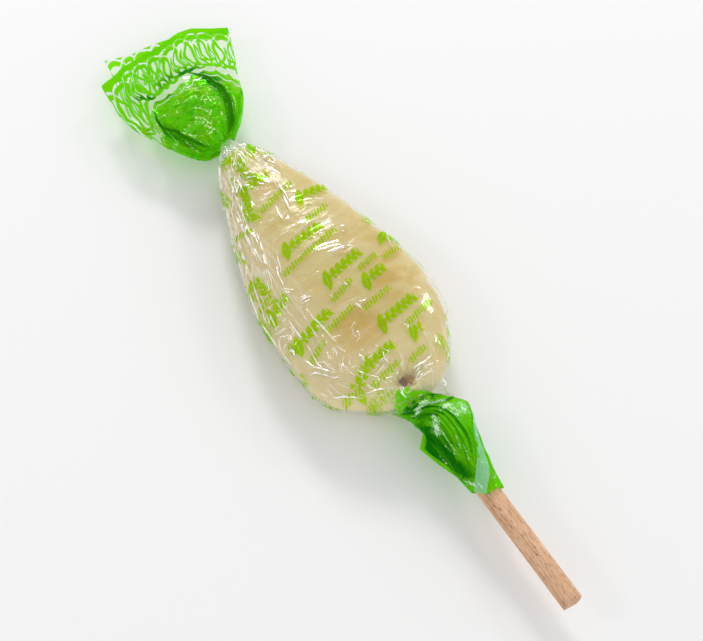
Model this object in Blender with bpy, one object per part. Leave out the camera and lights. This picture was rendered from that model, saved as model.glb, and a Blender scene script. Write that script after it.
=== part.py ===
"""A boiled-sugar lollipop on a wooden stick, wrapped in clear printed film that is twisted at both ends.

The lollipop lies on its broad face with its long axis along Y: the stick points towards -Y and the
fan of loose film towards +Y. Two solids make it. The stick is a round dowel. The wrapped candy is the
closed outer form of the film: the collar gathered round the stick, the bag drawn over the flat
spear-shaped candy, the twisted neck and the flared fan, with the socket that the stick is set in.

All sizes below are millimetres. They are measured from the place where the stick enters the candy,
with Z counted from the stick's own axis, and the finished solids are then stood on the origin.
"""

import math

import bmesh
import bpy
import numpy as np
from mathutils import Matrix

MM = 0.001

STICK_RADIUS = 2.0
STICK_END = -50.7
STICK_DEPTH = 26.0
STICK_SIDES = 48
STICK_CHAMFER = 0.25
SOCKET_GAP = 0.3

AXIS_HEIGHT = 6.2
AROUND = 64
FILM_EDGE = 0.5

COLLAR_END = -26.2
COLLAR_RINGS = 17
BAG_START = -4.9
BAG_RINGS = 22
NECK = 61.4
FAN_RINGS = 14

# Half widths to the left and right of the axis and half height, along the film from collar to neck.
FILM_OUTLINE = (
    (-26.2, 2.65, 2.65, 2.65),
    (-23.4, 2.80, 3.00, 2.75),
    (-18.9, 2.85, 4.00, 3.00),
    (-14.0, 2.95, 5.40, 3.40),
    (-9.8, 3.15, 6.95, 3.70),
    (-6.6, 3.80, 5.20, 3.50),
    (-4.9, 4.60, 5.50, 3.70),
    (-0.8, 9.80, 9.20, 4.90),
    (4.2, 14.9, 12.9, 5.90),
    (10.0, 16.5, 15.7, 6.40),
    (17.0, 16.5, 16.1, 6.60),
    (25.0, 16.3, 15.1, 6.60),
    (32.0, 14.8, 13.5, 6.10),
    (38.5, 12.8, 11.9, 5.20),
    (45.0, 10.3, 10.0, 4.20),
    (51.0, 8.10, 7.80, 3.30),
    (56.0, 5.90, 5.80, 2.70),
    (59.6, 3.60, 3.30, 2.15),
    (61.4, 1.90, 1.50, 1.55),
)

# The left and right sides of the fan, as (share of its length, left x, left y, right x, right y,
# half height), from the neck to the cut edge.
FAN_OUTLINE = (
    (0.00, -1.9, 61.9, 1.50, 62.3, 1.55),
    (0.07, -4.3, 61.6, 2.30, 63.2, 2.10),
    (0.14, -6.3, 62.4, 3.90, 64.4, 2.50),
    (0.23, -8.3, 64.9, 5.80, 66.3, 2.80),
    (0.34, -10.1, 67.9, 7.80, 68.8, 2.90),
    (0.46, -11.9, 71.4, 9.50, 71.9, 2.70),
    (0.59, -13.7, 75.4, 10.7, 75.4, 2.40),
    (0.72, -14.3, 79.5, 12.4, 78.8, 2.10),
    (0.86, -14.1, 83.6, 13.9, 82.4, 1.90),
    (1.00, -13.8, 88.0, 15.2, 86.2, 1.75),
)

BAG_SQUARENESS = 2.35
NECK_PLEATS = 9
NECK_PLEAT_DEPTH = 0.15
NECK_PLEAT_REACH = 13.0
COLLAR_PLEATS = 8
COLLAR_PLEAT_DEPTH = 0.085
COLLAR_TWIST = 2.6

FRONT_BULGE = 2.0
BACK_BULGE = 6.0
BACK_LEAN = 0.3
FAN_DROOP = 1.3
FAN_WAVE = 0.5
FAN_DOME = 1.0
FAN_DOME_AT = (-1.1, 71.6)
FAN_DOME_SIZE = (5.0, 6.0)
POCKET_START = 0.50
POCKET_HALF_HEIGHT = 1.7

# The free corner of film beside the collar: its root on the collar and its outer edge, as (x, y).
FLAP_ROOT = ((-2.66, -10.8), (-2.70, -14.0), (-2.66, -17.6), (-2.60, -21.2))
FLAP_EDGE = ((-4.80, -11.1), (-5.75, -12.8), (-4.70, -16.9), (-3.10, -21.0))
FLAP_LEVEL = -0.55
FLAP_CURL = 0.6
FLAP_THICKNESS = 0.5


def clear_scene():
    for obj in list(bpy.data.objects):
        bpy.data.objects.remove(obj, do_unlink=True)


def principled(name, colour, roughness, metallic=0.0, coat=0.0):
    """A material with one Principled BSDF."""
    material = bpy.data.materials.new(name)
    material.use_nodes = True
    shader = material.node_tree.nodes["Principled BSDF"]
    shader.inputs["Base Color"].default_value = (*colour, 1.0)
    shader.inputs["Roughness"].default_value = roughness
    shader.inputs["Metallic"].default_value = metallic
    shader.inputs["Coat Weight"].default_value = coat
    return material


def smooth_through(stations, places):
    """Each column of the stations at these places, on a monotone cubic that never overshoots a station."""
    table = np.array(stations, float)
    at, values = table[:, 0], table[:, 1:]
    step = np.diff(at)[:, None]
    slope = np.diff(values, axis=0) / step
    tangent = np.zeros_like(values)
    before, after = slope[:-1], slope[1:]
    turning = before * after <= 0
    weight_one = 2 * step[1:] + step[:-1]
    weight_two = step[1:] + 2 * step[:-1]
    safe_before = np.where(turning, 1.0, before)
    safe_after = np.where(turning, 1.0, after)
    mean = (weight_one + weight_two) / (weight_one / safe_before + weight_two / safe_after)
    tangent[1:-1] = np.where(turning, 0.0, mean)
    tangent[0], tangent[-1] = slope[0], slope[-1]
    places = np.clip(np.asarray(places, float), at[0], at[-1])
    i = np.clip(np.searchsorted(at, places, side="right") - 1, 0, len(at) - 2)
    span = step[i]
    t = ((places - at[i]) / span[:, 0])[:, None]
    return (
        (2 * t**3 - 3 * t**2 + 1) * values[i]
        + (t**3 - 2 * t**2 + t) * span * tangent[i]
        + (3 * t**2 - 2 * t**3) * values[i + 1]
        + (t**3 - t**2) * span * tangent[i + 1]
    )


def angles():
    return np.arange(AROUND) * 2 * math.pi / AROUND


def rounded_power(value, squareness):
    """A sine or cosine bent so that it draws a superellipse: 2 is an ellipse, more is squarer."""
    return np.sign(value) * np.abs(value) ** (2 / squareness)


def circle_ring(radius, y):
    turn = angles()
    return np.stack([radius * np.cos(turn), np.full(AROUND, y), radius * np.sin(turn)], axis=1)


def socket_rings():
    """The wall of the stick's socket, from its blind end out to the collar's mouth."""
    radius = STICK_RADIUS + SOCKET_GAP
    deep = STICK_DEPTH + SOCKET_GAP
    return [circle_ring(radius, y) for y in np.linspace(deep, COLLAR_END, 6)]


def collar_pleats(turn, y):
    """Share by which the twisted pleats swell the collar. They wind round as they run up it."""
    along = np.clip((y - COLLAR_END) / (BAG_START - COLLAR_END), 0, 1)
    fade = np.sin(math.pi * np.clip(along, 0, 1)) ** 0.5
    wave = np.cos(COLLAR_PLEATS * (turn - COLLAR_TWIST * along**1.5))
    return COLLAR_PLEAT_DEPTH * fade * wave


def neck_pleats(turn, y):
    """Share by which the pleats that gather into the neck swell the bag, fading away from it."""
    near = np.clip(1 - (NECK - y) / NECK_PLEAT_REACH, 0, 1)
    return NECK_PLEAT_DEPTH * near**1.6 * np.cos(NECK_PLEATS * turn + 1.1 * near)


def film_ring(y):
    """One section of the film between the collar's mouth and the neck."""
    left, right, half_height = smooth_through(FILM_OUTLINE, [y])[0]
    turn = angles()
    full = np.clip((y - BAG_START) / 8, 0, 1) * np.clip((NECK - y) / 14, 0, 1)
    squareness = 2 + (BAG_SQUARENESS - 2) * full
    across = rounded_power(np.cos(turn), squareness)
    up = rounded_power(np.sin(turn), squareness)
    swell = 1 + collar_pleats(turn, y) + neck_pleats(turn, y)
    x = np.where(across > 0, right, left) * across * swell
    z = half_height * up * swell
    if y < BAG_START:
        keep_wall = (STICK_RADIUS + SOCKET_GAP + 0.35) / np.hypot(x, z)
        x, z = x * np.maximum(1, keep_wall), z * np.maximum(1, keep_wall)
    return np.stack([x, np.full(AROUND, y), np.maximum(z, -AXIS_HEIGHT)], axis=1)


def fan_ring(share, inside=False):
    """One section of the fan at this share of its length, on its outer or on its inner side."""
    left_x, left_y, right_x, right_y, half_height = smooth_through(FAN_OUTLINE, [share])[0]
    turn = angles()
    flutes = 1 + 0.05 * (1 - share) * np.cos(NECK_PLEATS * turn)
    half_width = (right_x - left_x) / 2
    if inside:
        half_width -= FILM_EDGE
        half_height = min(half_height - FILM_EDGE, POCKET_HALF_HEIGHT)
    reach = np.cos(turn) * half_width * flutes
    x = (left_x + right_x) / 2 + reach
    slope = (right_y - left_y) / (right_x - left_x)
    front = np.maximum(0, np.sin(turn)) ** 0.5
    back = np.maximum(0, -np.sin(turn)) ** 0.5 * (1 - BACK_LEAN * np.cos(turn))
    bulge = share**2 * (FRONT_BULGE * front + BACK_BULGE * back)
    y = (left_y + right_y) / 2 + slope * reach + bulge
    across = (x - FAN_DOME_AT[0]) / FAN_DOME_SIZE[0]
    along = (y - FAN_DOME_AT[1]) / FAN_DOME_SIZE[1]
    dome = 0 if inside else FAN_DOME * np.exp(-(across**2) - along**2) * front
    z = half_height * np.sin(turn) * flutes + dome
    z = z + share * (FAN_WAVE * np.sin(0.38 * x + 0.6) - FAN_DROOP)
    return np.stack([x, y, z], axis=1)


def wrapped_candy_rings():
    """Every section of the wrapped candy in order, from the socket's blind end to the fan's inside."""
    rings = socket_rings()
    rings += [film_ring(y) for y in np.linspace(COLLAR_END, BAG_START, COLLAR_RINGS)]
    bag = BAG_START + (NECK - BAG_START) * np.linspace(0, 1, BAG_RINGS + 1)[1:]
    rings += [film_ring(y) for y in bag]
    rings += [fan_ring(share) for share in np.linspace(0, 1, FAN_RINGS) ** 1.2]
    rings += [fan_ring(share, inside=True) for share in np.linspace(1, POCKET_START, 6)]
    return rings


def closed_mesh(name, rings):
    """A closed mesh from rings of points, with a fan of triangles to a middle point at either end."""
    rings = np.array(rings)
    count = len(rings)
    points = np.vstack([rings.reshape(-1, 3), rings[0].mean(0), rings[-1].mean(0)]) * MM
    first_pole, last_pole = count * AROUND, count * AROUND + 1
    here = np.arange(AROUND)
    beside = (here + 1) % AROUND
    faces = []
    for row in range(count - 1):
        low, high = row * AROUND, (row + 1) * AROUND
        faces += np.stack([low + here, low + beside, high + beside, high + here], axis=1).tolist()
    last = (count - 1) * AROUND
    faces += [[first_pole, b, a] for a, b in zip(here.tolist(), beside.tolist())]
    faces += [[last_pole, last + a, last + b] for a, b in zip(here.tolist(), beside.tolist())]
    mesh = bpy.data.meshes.new(name)
    mesh.from_pydata(points.tolist(), [], faces)
    face_outwards(mesh)
    return mesh


def face_outwards(mesh):
    work = bmesh.new()
    work.from_mesh(mesh)
    bmesh.ops.recalc_face_normals(work, faces=work.faces)
    if work.calc_volume(signed=True) < 0:
        bmesh.ops.reverse_faces(work, faces=work.faces)
    work.to_mesh(mesh)
    work.free()


def shade(mesh):
    mesh.shade_smooth()
    mesh.set_sharp_from_angle(angle=math.radians(50))


def add_object(name, mesh, material):
    obj = bpy.data.objects.new(name, mesh)
    obj.data.materials.append(material)
    bpy.context.scene.collection.objects.link(obj)
    return obj


def make_flap(material):
    """The free corner of film: a thin curved tab that grows out of the collar's left side."""
    along = np.linspace(0, 1, 9)
    knots = np.linspace(0, 1, len(FLAP_ROOT))
    root = smooth_through(np.column_stack([knots, FLAP_ROOT]), along)
    edge = smooth_through(np.column_stack([knots, FLAP_EDGE]), along)
    out = np.linspace(0, 1, 5)[None, :, None]
    flat = root[:, None, :] * (1 - out) + edge[:, None, :] * out
    level = FLAP_LEVEL + FLAP_CURL * out[..., 0] ** 2 * np.cos(3 * along)[:, None]
    half = FLAP_THICKNESS / 2
    upper = np.dstack([flat, level + half])
    lower = np.dstack([flat, level - half])
    rows, columns = level.shape
    points = np.vstack([upper.reshape(-1, 3), lower.reshape(-1, 3)]) * MM
    index = np.arange(rows * columns).reshape(rows, columns)
    under = index + rows * columns
    quads = np.stack([index[:-1, :-1], index[1:, :-1], index[1:, 1:], index[:-1, 1:]], axis=-1)
    faces = quads.reshape(-1, 4).tolist()
    faces += (quads + rows * columns)[..., ::-1].reshape(-1, 4).tolist()
    outline = np.concatenate([index[0], index[1:, -1], index[-1, -2::-1], index[-2:0:-1, 0]])
    below = np.concatenate([under[0], under[1:, -1], under[-1, -2::-1], under[-2:0:-1, 0]])
    following = np.roll(np.arange(len(outline)), -1)
    sides = np.stack([outline, outline[following], below[following], below], axis=1)
    mesh = bpy.data.meshes.new("flap")
    mesh.from_pydata(points.tolist(), [], faces + sides.tolist())
    face_outwards(mesh)
    return add_object("flap", mesh, material)


def unite(body, additions):
    """Joins the additions to the body with one Boolean union, then removes them."""
    group = bpy.data.collections.new("additions")
    bpy.context.scene.collection.children.link(group)
    for obj in additions:
        bpy.context.scene.collection.objects.unlink(obj)
        group.objects.link(obj)
    join = body.modifiers.new("join", "BOOLEAN")
    join.operation = "UNION"
    join.operand_type = "COLLECTION"
    join.collection = group
    join.solver = "EXACT"
    graph = bpy.context.evaluated_depsgraph_get()
    joined = bpy.data.meshes.new_from_object(body.evaluated_get(graph))
    body.modifiers.clear()
    body.data = joined
    for obj in additions:
        bpy.data.objects.remove(obj, do_unlink=True)
    bpy.data.collections.remove(group)


def make_wrapped_candy():
    film = principled("film", (0.62, 0.56, 0.36), roughness=0.18, coat=0.6)
    body = add_object("wrapped_candy", closed_mesh("wrapped_candy", wrapped_candy_rings()), film)
    unite(body, [make_flap(film)])
    shade(body.data)
    return body


def make_stick():
    """The dowel, with the small chamfer that a cut end has, on the axis from its free end into the candy."""
    wood = principled("wood", (0.66, 0.42, 0.25), roughness=0.62)
    length = (STICK_DEPTH - STICK_END) * MM
    work = bmesh.new()
    bmesh.ops.create_cone(
        work,
        cap_ends=True,
        segments=STICK_SIDES,
        radius1=STICK_RADIUS * MM,
        radius2=STICK_RADIUS * MM,
        depth=length,
        matrix=Matrix.Rotation(math.radians(90), 4, "X"),
    )
    rims = [edge for edge in work.edges if len({len(face.verts) for face in edge.link_faces}) == 2]
    bmesh.ops.bevel(work, geom=rims, offset=STICK_CHAMFER * MM, segments=1, affect="EDGES")
    mesh = bpy.data.meshes.new("stick")
    work.to_mesh(mesh)
    work.free()
    middle = (STICK_DEPTH + STICK_END) / 2 * MM
    mesh.transform(Matrix.Translation((0.0, middle, 0.0)))
    shade(mesh)
    return add_object("stick", mesh, wood)


def stand_on_origin(objects):
    """Puts the middle of the underside of the whole on the origin, by the objects' own locations."""
    points = np.array([vertex.co for obj in objects for vertex in obj.data.vertices])
    low, high = points.min(0), points.max(0)
    for obj in objects:
        obj.location = (-(low[0] + high[0]) / 2, -(low[1] + high[1]) / 2, AXIS_HEIGHT * MM)


def main():
    clear_scene()
    stand_on_origin([make_wrapped_candy(), make_stick()])


main()
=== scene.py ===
"""The looks of a wrapped lollipop: a boiled sweet on a stick, in printed film twisted shut at both ends.

All shapes are worked out in millimetres in the measuring frame of the part: x and z are counted from
the stick's axis and y from the place where the stick enters the sweet. build() moves them onto the
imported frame, and Finish.place() brings its coordinates back to the measuring frame for a pattern.
"""

import functools
import math

import bpy
import numpy as np
from mathutils import Matrix, Vector


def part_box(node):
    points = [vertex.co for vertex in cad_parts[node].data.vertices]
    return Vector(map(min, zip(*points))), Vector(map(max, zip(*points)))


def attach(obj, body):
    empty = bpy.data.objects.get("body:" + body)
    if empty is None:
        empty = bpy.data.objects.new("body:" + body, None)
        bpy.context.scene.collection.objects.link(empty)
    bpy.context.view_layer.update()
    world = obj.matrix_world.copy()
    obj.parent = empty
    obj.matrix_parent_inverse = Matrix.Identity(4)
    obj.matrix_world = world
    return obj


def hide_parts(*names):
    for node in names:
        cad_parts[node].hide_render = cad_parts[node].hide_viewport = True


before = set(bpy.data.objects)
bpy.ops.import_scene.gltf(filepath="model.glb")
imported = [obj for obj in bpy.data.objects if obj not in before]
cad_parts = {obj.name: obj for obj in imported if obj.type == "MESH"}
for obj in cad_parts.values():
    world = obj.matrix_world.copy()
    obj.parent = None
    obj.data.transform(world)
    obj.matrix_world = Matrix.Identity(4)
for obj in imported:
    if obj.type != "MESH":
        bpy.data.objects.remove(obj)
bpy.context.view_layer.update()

MM = 0.001
TURN = 2 * math.pi
# Places along y: the stick's free end and its end inside the sweet, the collar's cut edge, the foot of
# the bag and the neck.
STICK_END = -50.7
STICK_INSIDE = 26.0
COLLAR_END = -26.2
BAG_START = -4.9
NECK = 61.4
STICK_RADIUS = 2.0

STICK_LOW, STICK_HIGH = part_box("stick")
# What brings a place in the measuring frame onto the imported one, in millimetres, and the table's height.
SHIFT = np.array([
    (STICK_LOW.x + STICK_HIGH.x) / 2 / MM,
    STICK_LOW.y / MM - STICK_END,
    (STICK_LOW.z + STICK_HIGH.z) / 2 / MM,
])
FLOOR = -SHIFT[2]

# Half widths to the left and right of the axis and half height, along the film from collar to neck.
FILM_OUTLINE = (
    (-26.2, 2.65, 2.65, 2.65),
    (-23.4, 2.8, 3.0, 2.75),
    (-18.9, 2.85, 4.0, 3.0),
    (-14.0, 2.95, 5.4, 3.4),
    (-9.8, 3.15, 6.95, 3.7),
    (-6.6, 3.8, 5.2, 3.5),
    (-4.9, 4.6, 5.5, 3.7),
    (-0.8, 9.8, 9.2, 4.9),
    (4.2, 14.9, 12.9, 5.9),
    (10.0, 16.5, 15.7, 6.4),
    (17.0, 16.5, 16.1, 6.6),
    (25.0, 16.3, 15.1, 6.6),
    (32.0, 14.8, 13.5, 6.1),
    (38.5, 12.8, 11.9, 5.2),
    (45.0, 10.3, 10.0, 4.2),
    (51.0, 8.1, 7.8, 3.3),
    (56.0, 5.9, 5.8, 2.7),
    (59.6, 3.6, 3.3, 2.15),
    (61.4, 1.9, 1.5, 1.55),
)

# The same for the sweet inside the film.
SWEET_OUTLINE = (
    (-4.1, 0.6, 0.6, 0.6),
    (-3.9, 2.9, 3.2, 1.6),
    (-3.2, 4.8, 5.3, 2.6),
    (-1.8, 7.5, 7.5, 3.5),
    (0.0, 10.1, 9.3, 4.3),
    (1.2, 11.6, 10.4, 4.75),
    (4.2, 14.2, 12.2, 5.5),
    (10.0, 15.9, 14.8, 6.05),
    (17.0, 16.0, 15.5, 6.25),
    (25.0, 15.8, 14.6, 6.25),
    (32.0, 14.3, 13.0, 5.75),
    (38.5, 12.3, 11.4, 4.85),
    (45.0, 9.8, 9.5, 3.85),
    (51.0, 7.5, 7.2, 2.95),
    (55.5, 5.5, 5.3, 2.25),
    (58.4, 3.3, 3.2, 1.55),
    (59.8, 1.4, 1.3, 0.8),
    (60.2, 0.4, 0.4, 0.4),
)

# The left and right sides of the fan, as (share of its length, left x, left y, right x, right y,
# half height), from the neck to the cut edge.
FAN_OUTLINE = (
    (0.0, -1.9, 61.9, 1.5, 62.3, 1.55),
    (0.07, -4.3, 61.6, 2.3, 63.2, 2.1),
    (0.14, -6.3, 62.4, 3.9, 64.4, 2.6),
    (0.23, -8.3, 64.9, 5.8, 66.3, 2.95),
    (0.34, -10.1, 67.9, 7.8, 68.8, 3.1),
    (0.46, -11.9, 71.4, 9.5, 71.9, 3.0),
    (0.59, -13.7, 75.4, 10.7, 75.4, 2.8),
    (0.72, -14.3, 79.5, 12.4, 78.8, 2.6),
    (0.86, -14.1, 83.6, 13.9, 82.4, 2.45),
    (1.0, -13.8, 88.0, 15.2, 86.2, 2.35),
)

# On the face of the sweet: the middle of its shallow dip, and of the notch where the stick goes in.
DIP_AT = (-3.6, 11.3)
NOTCH_AT = (-0.3, -0.4)


def smooth_through(stations, places):
    """Each column of the stations at these places, on a monotone cubic that never overshoots."""
    table = np.array(stations, float)
    at, values = table[:, 0], table[:, 1:]
    step = np.diff(at)[:, None]
    slope = np.diff(values, axis=0) / step
    tangent = np.zeros_like(values)
    before, after = slope[:-1], slope[1:]
    turning = before * after <= 0
    weight_one = 2 * step[1:] + step[:-1]
    weight_two = step[1:] + 2 * step[:-1]
    safe_before = np.where(turning, 1.0, before)
    safe_after = np.where(turning, 1.0, after)
    mean = (weight_one + weight_two) / (weight_one / safe_before + weight_two / safe_after)
    tangent[1:-1] = np.where(turning, 0.0, mean)
    tangent[0], tangent[-1] = slope[0], slope[-1]
    places = np.clip(np.asarray(places, float), at[0], at[-1])
    i = np.clip(np.searchsorted(at, places, side="right") - 1, 0, len(at) - 2)
    span = step[i]
    t = ((places - at[i]) / span[:, 0])[:, None]
    return (
        (2 * t**3 - 3 * t**2 + 1) * values[i]
        + (t**3 - 2 * t**2 + t) * span * tangent[i]
        + (3 * t**2 - 2 * t**3) * values[i + 1]
        + (t**3 - t**2) * span * tangent[i + 1]
    )


def ramp(value, low, high):
    """0 below low, 1 above high and a smooth cubic step between."""
    t = np.clip((value - low) / (high - low), 0, 1)
    return t * t * (3 - 2 * t)


def rounded_power(value, squareness):
    """A sine or cosine bent so that it draws a superellipse: 2 is an ellipse, more is squarer."""
    return np.sign(value) * np.abs(value) ** (2 / squareness)


def unit(vectors):
    """The vectors, each at a length of one."""
    return vectors / np.maximum(np.linalg.norm(vectors, axis=-1, keepdims=True), 1e-9)


def waves(points, length, seed, stretch=(1, 1, 1)):
    """A random swell: the sum of 16 cosines over the points, in random directions, with wavelengths
    round about the given length. stretch makes the swell longer along an axis. Its spread is 1."""
    count = 16
    dice = np.random.default_rng(seed)
    heading = unit(dice.normal(size=(count, 3)))
    heading *= (TURN / length * dice.uniform(0.6, 1.4, count))[:, None] / np.array(stretch)
    phase = dice.uniform(0, TURN, count)
    total = np.zeros(points.shape[:-1])
    for direction, start in zip(heading, phase):
        total += np.cos(points @ direction + start)
    return total / math.sqrt(count / 2)


def crumple(points, length, seed, stretch=(1, 1, 1)):
    """Sharp random ridges, where a swell passes through zero: one minus the swell's size."""
    return 1 - np.abs(waves(points, length, seed, stretch))


def pleated(phase):
    """Pleats with sharp crests, from -1 to 1: one minus twice the size of a sine."""
    return 1 - 2 * np.abs(np.sin(phase))


def away_from(at, size, x, y):
    """The squared distance of (x, y) from a place, counted in sizes, for arrays and for wires alike."""
    return ((x - at[0]) / size[0]) ** 2.0 + ((y - at[1]) / size[1]) ** 2.0


def blob(x, y, at, size):
    """A round hill of height 1 at a place, exp of minus the squared distance in sizes."""
    return np.exp(-away_from(at, size, x, y))


def along_line(x, y, line):
    """For each (x, y): its distance from a broken line, how far along it the nearest place is, and
    which side it is on, 1 at the left of the line's direction and -1 at the right."""
    line = np.array(line, float)
    nearest = np.full(x.shape, 1e9)
    share = np.zeros(x.shape)
    side = np.ones(x.shape)
    pieces = np.diff(line, axis=0)
    lengths = np.hypot(pieces[:, 0], pieces[:, 1])
    starts = np.concatenate([[0], np.cumsum(lengths)])
    for start, piece, length, before in zip(line, pieces, lengths, starts):
        t = ((x - start[0]) * piece[0] + (y - start[1]) * piece[1]) / length**2
        t = np.clip(t, 0, 1)
        distance = np.hypot(x - start[0] - t * piece[0], y - start[1] - t * piece[1])
        closer = distance < nearest
        nearest = np.where(closer, distance, nearest)
        share = np.where(closer, (before + t * length) / starts[-1], share)
        turned = piece[0] * (y - start[1]) - piece[1] * (x - start[0])
        side = np.where(closer, np.where(turned >= 0, 1, -1), side)
    return nearest, share, side


def run_along(line):
    """How far along a broken line each of its points is."""
    return np.concatenate([[0], np.cumsum(np.linalg.norm(np.diff(line, axis=0), axis=1))])


def smooth_line(line, count=40):
    """A broken line made into a smooth one of this many points, by its length."""
    run = run_along(line)
    return smooth_through(np.column_stack([run, line]), np.linspace(0, run[-1], count))


def straight_line(line, count, first=0.0, last=1.0):
    """Places along a broken line between two shares of its length, its corners kept."""
    run = run_along(line)
    places = np.linspace(first, last, count) * run[-1]
    return np.stack([np.interp(places, run, column) for column in line.T], axis=1)


def fading(share, rate, least=0.0):
    """Fades a line out towards its ends: rate * share * (1 - share) + least, kept within 0 and 1."""
    return np.clip(rate * share * (1 - share) + least, 0, 1)


def stroke(x, y, line, reach, rate=7, least=0.0):
    """A soft stroke along a line, exp of minus the squared distance in reaches, faded at its ends."""
    distance, share, _ = along_line(x, y, line)
    return fading(share, rate, least) * np.exp(-((distance / reach) ** 2))


def crease(x, y, line, width, height, round_off=0.10):
    """A fold's ridge along a broken line: height times exp(-distance / width), with a rounded crest,
    fading out towards the line's two ends."""
    distance, share, _ = along_line(x, y, line)
    rounded = np.sqrt(distance**2 + round_off**2) - round_off
    return height * fading(share, 6, 0.25) * np.exp(-rounded / width)


def lap(x, y, line, width, height):
    """The edge of a layer of film that lies over another, at the left of a line: its height there is
    height times exp(-distance / width), and it drops to nothing within 0.08 mm at the right."""
    distance, share, side = along_line(x, y, line)
    over = np.exp(-distance / width)
    under = np.clip(1 - distance / 0.08, 0, 1)
    return height * fading(share, 7, 0.15) * np.where(side > 0, over, under)


def shade_of(x, y, line, reach, shading):
    """Painted shade at the right of a lapped line, where the film also lies in more layers, fading out
    within a reach.
    """
    distance, share, side = along_line(x, y, line)
    under = np.exp(-distance / np.where(side > 0, 0.06, reach))
    return shading * fading(share, 6) * under


def normals_of(grid, closed):
    """The unit normal at each point of a grid, from its neighbours' differences."""
    if closed:
        across = np.roll(grid, -1, axis=1) - np.roll(grid, 1, axis=1)
    else:
        across = np.gradient(grid, axis=1)
    along = np.gradient(grid, axis=0)
    return unit(np.cross(along, across))


def round_turn(count):
    """A row of this many angles, once round."""
    return (np.arange(count) * TURN / count)[None, :]


def four_corners(values, flip=False):
    """A grid's values at the four corners of every face, a row for each face."""
    corners = [values[:-1, :-1], values[1:, :-1], values[1:, 1:], values[:-1, 1:]]
    if flip:
        corners.reverse()
    return np.stack(corners, axis=2).reshape(-1, 4, *values.shape[2:])


def grid_faces(grid, closed=False, flip=False):
    """The faces of a grid of points, by number. A closed grid joins its last column to its first."""
    rows, columns = grid.shape[:2]
    index = np.arange(rows * columns).reshape(rows, columns)
    if closed:
        index = np.hstack([index, index[:, :1]])
    return four_corners(index, flip)


def add(name, data):
    """Puts a mesh, a light or a camera into the scene."""
    made = bpy.data.objects.new(name, data)
    bpy.context.scene.collection.objects.link(made)
    return made


def keep_above_table(grid, gap):
    """Lifts every point that is less than this gap above the table."""
    grid[..., 2] = np.maximum(grid[..., 2], FLOOR + gap)


def build(name, points, faces, material, slot="film", node="wrapped_candy", print_map=None, sharp=None,
          caps=None, **marks):
    """A piece from points in millimetres, faces of four corners and any triangles that cap it, riding on
    the frame. Its marks are values from 0 to 1 at each point: one for how many layers the film is folded
    into and how much painted light and shade it carries, and one for painted glints that whiten it."""
    points = (points.reshape(-1, 3) + SHIFT) * MM
    parts = [faces] if caps is None else [faces, caps]
    corners = np.concatenate([part.ravel() for part in parts])
    counts = np.concatenate([np.full(len(part), part.shape[1]) for part in parts])
    mesh = bpy.data.meshes.new(name)
    mesh.vertices.add(len(points))
    mesh.vertices.foreach_set("co", points.astype(np.float32).ravel())
    mesh.loops.add(len(corners))
    mesh.loops.foreach_set("vertex_index", corners.astype(np.int32))
    mesh.polygons.add(len(counts))
    mesh.polygons.foreach_set("loop_start", (np.cumsum(counts) - counts).astype(np.int32))
    mesh.update(calc_edges=True)
    if print_map is not None:
        layer = mesh.uv_layers.new(name="print")
        layer.uv.foreach_set("vector", print_map.astype(np.float32).ravel())
    for mark, values in marks.items():
        layer = mesh.attributes.new(mark, "FLOAT", "POINT")
        layer.data.foreach_set("value", np.clip(values, 0, 1).astype(np.float32).ravel())
    mesh.validate()
    mesh.shade_smooth()
    if sharp:
        mesh.set_sharp_from_angle(angle=math.radians(sharp))
    mesh.materials.append(material)
    piece = add(name, mesh)
    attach(piece, "root")
    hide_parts(node)


class Wire:
    """A value in a finish. Python arithmetic on it adds the Math nodes that work it out. lower and
    higher take the smaller and the larger of two values, and above and below give 1 where they hold."""

    def __init__(self, finish, socket):
        self.finish = finish
        self.socket = socket

    def math(self, operation, *others):
        """A Math node of this value and the others."""
        inputs = {index: value for index, value in enumerate((self,) + others)}
        return self.finish.node("ShaderNodeMath", {"operation": operation}, inputs)

    def __add__(self, other):
        return self.math("ADD", other)

    __radd__ = __add__

    def __mul__(self, other):
        return self.math("MULTIPLY", other)

    __rmul__ = __mul__

    def __sub__(self, other):
        return self.math("SUBTRACT", other)

    def __rsub__(self, other):
        return (self * -1.0) + other

    def __truediv__(self, other):
        return self.math("DIVIDE", other)

    def __pow__(self, other):
        return self.math("POWER", other)

    def __abs__(self):
        return self.math("ABSOLUTE")

    def lower(self, other):
        return self.math("MINIMUM", other)

    def higher(self, other):
        return self.math("MAXIMUM", other)

    def above(self, other):
        return self.math("GREATER_THAN", other)

    def below(self, other):
        return self.math("LESS_THAN", other)

    def step(self, low, high):
        """0 below low, 1 above high, smooth between; low may be the larger."""
        return self.finish.node(
            "ShaderNodeMapRange",
            {"interpolation_type": "SMOOTHSTEP"},
            {"Value": self, "From Min": low, "From Max": high},
        )

    def wrapped(self, period):
        """The value's place within a repeat of this length, counted from the repeat's middle."""
        return self.math("WRAP", period / 2, -period / 2)


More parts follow.
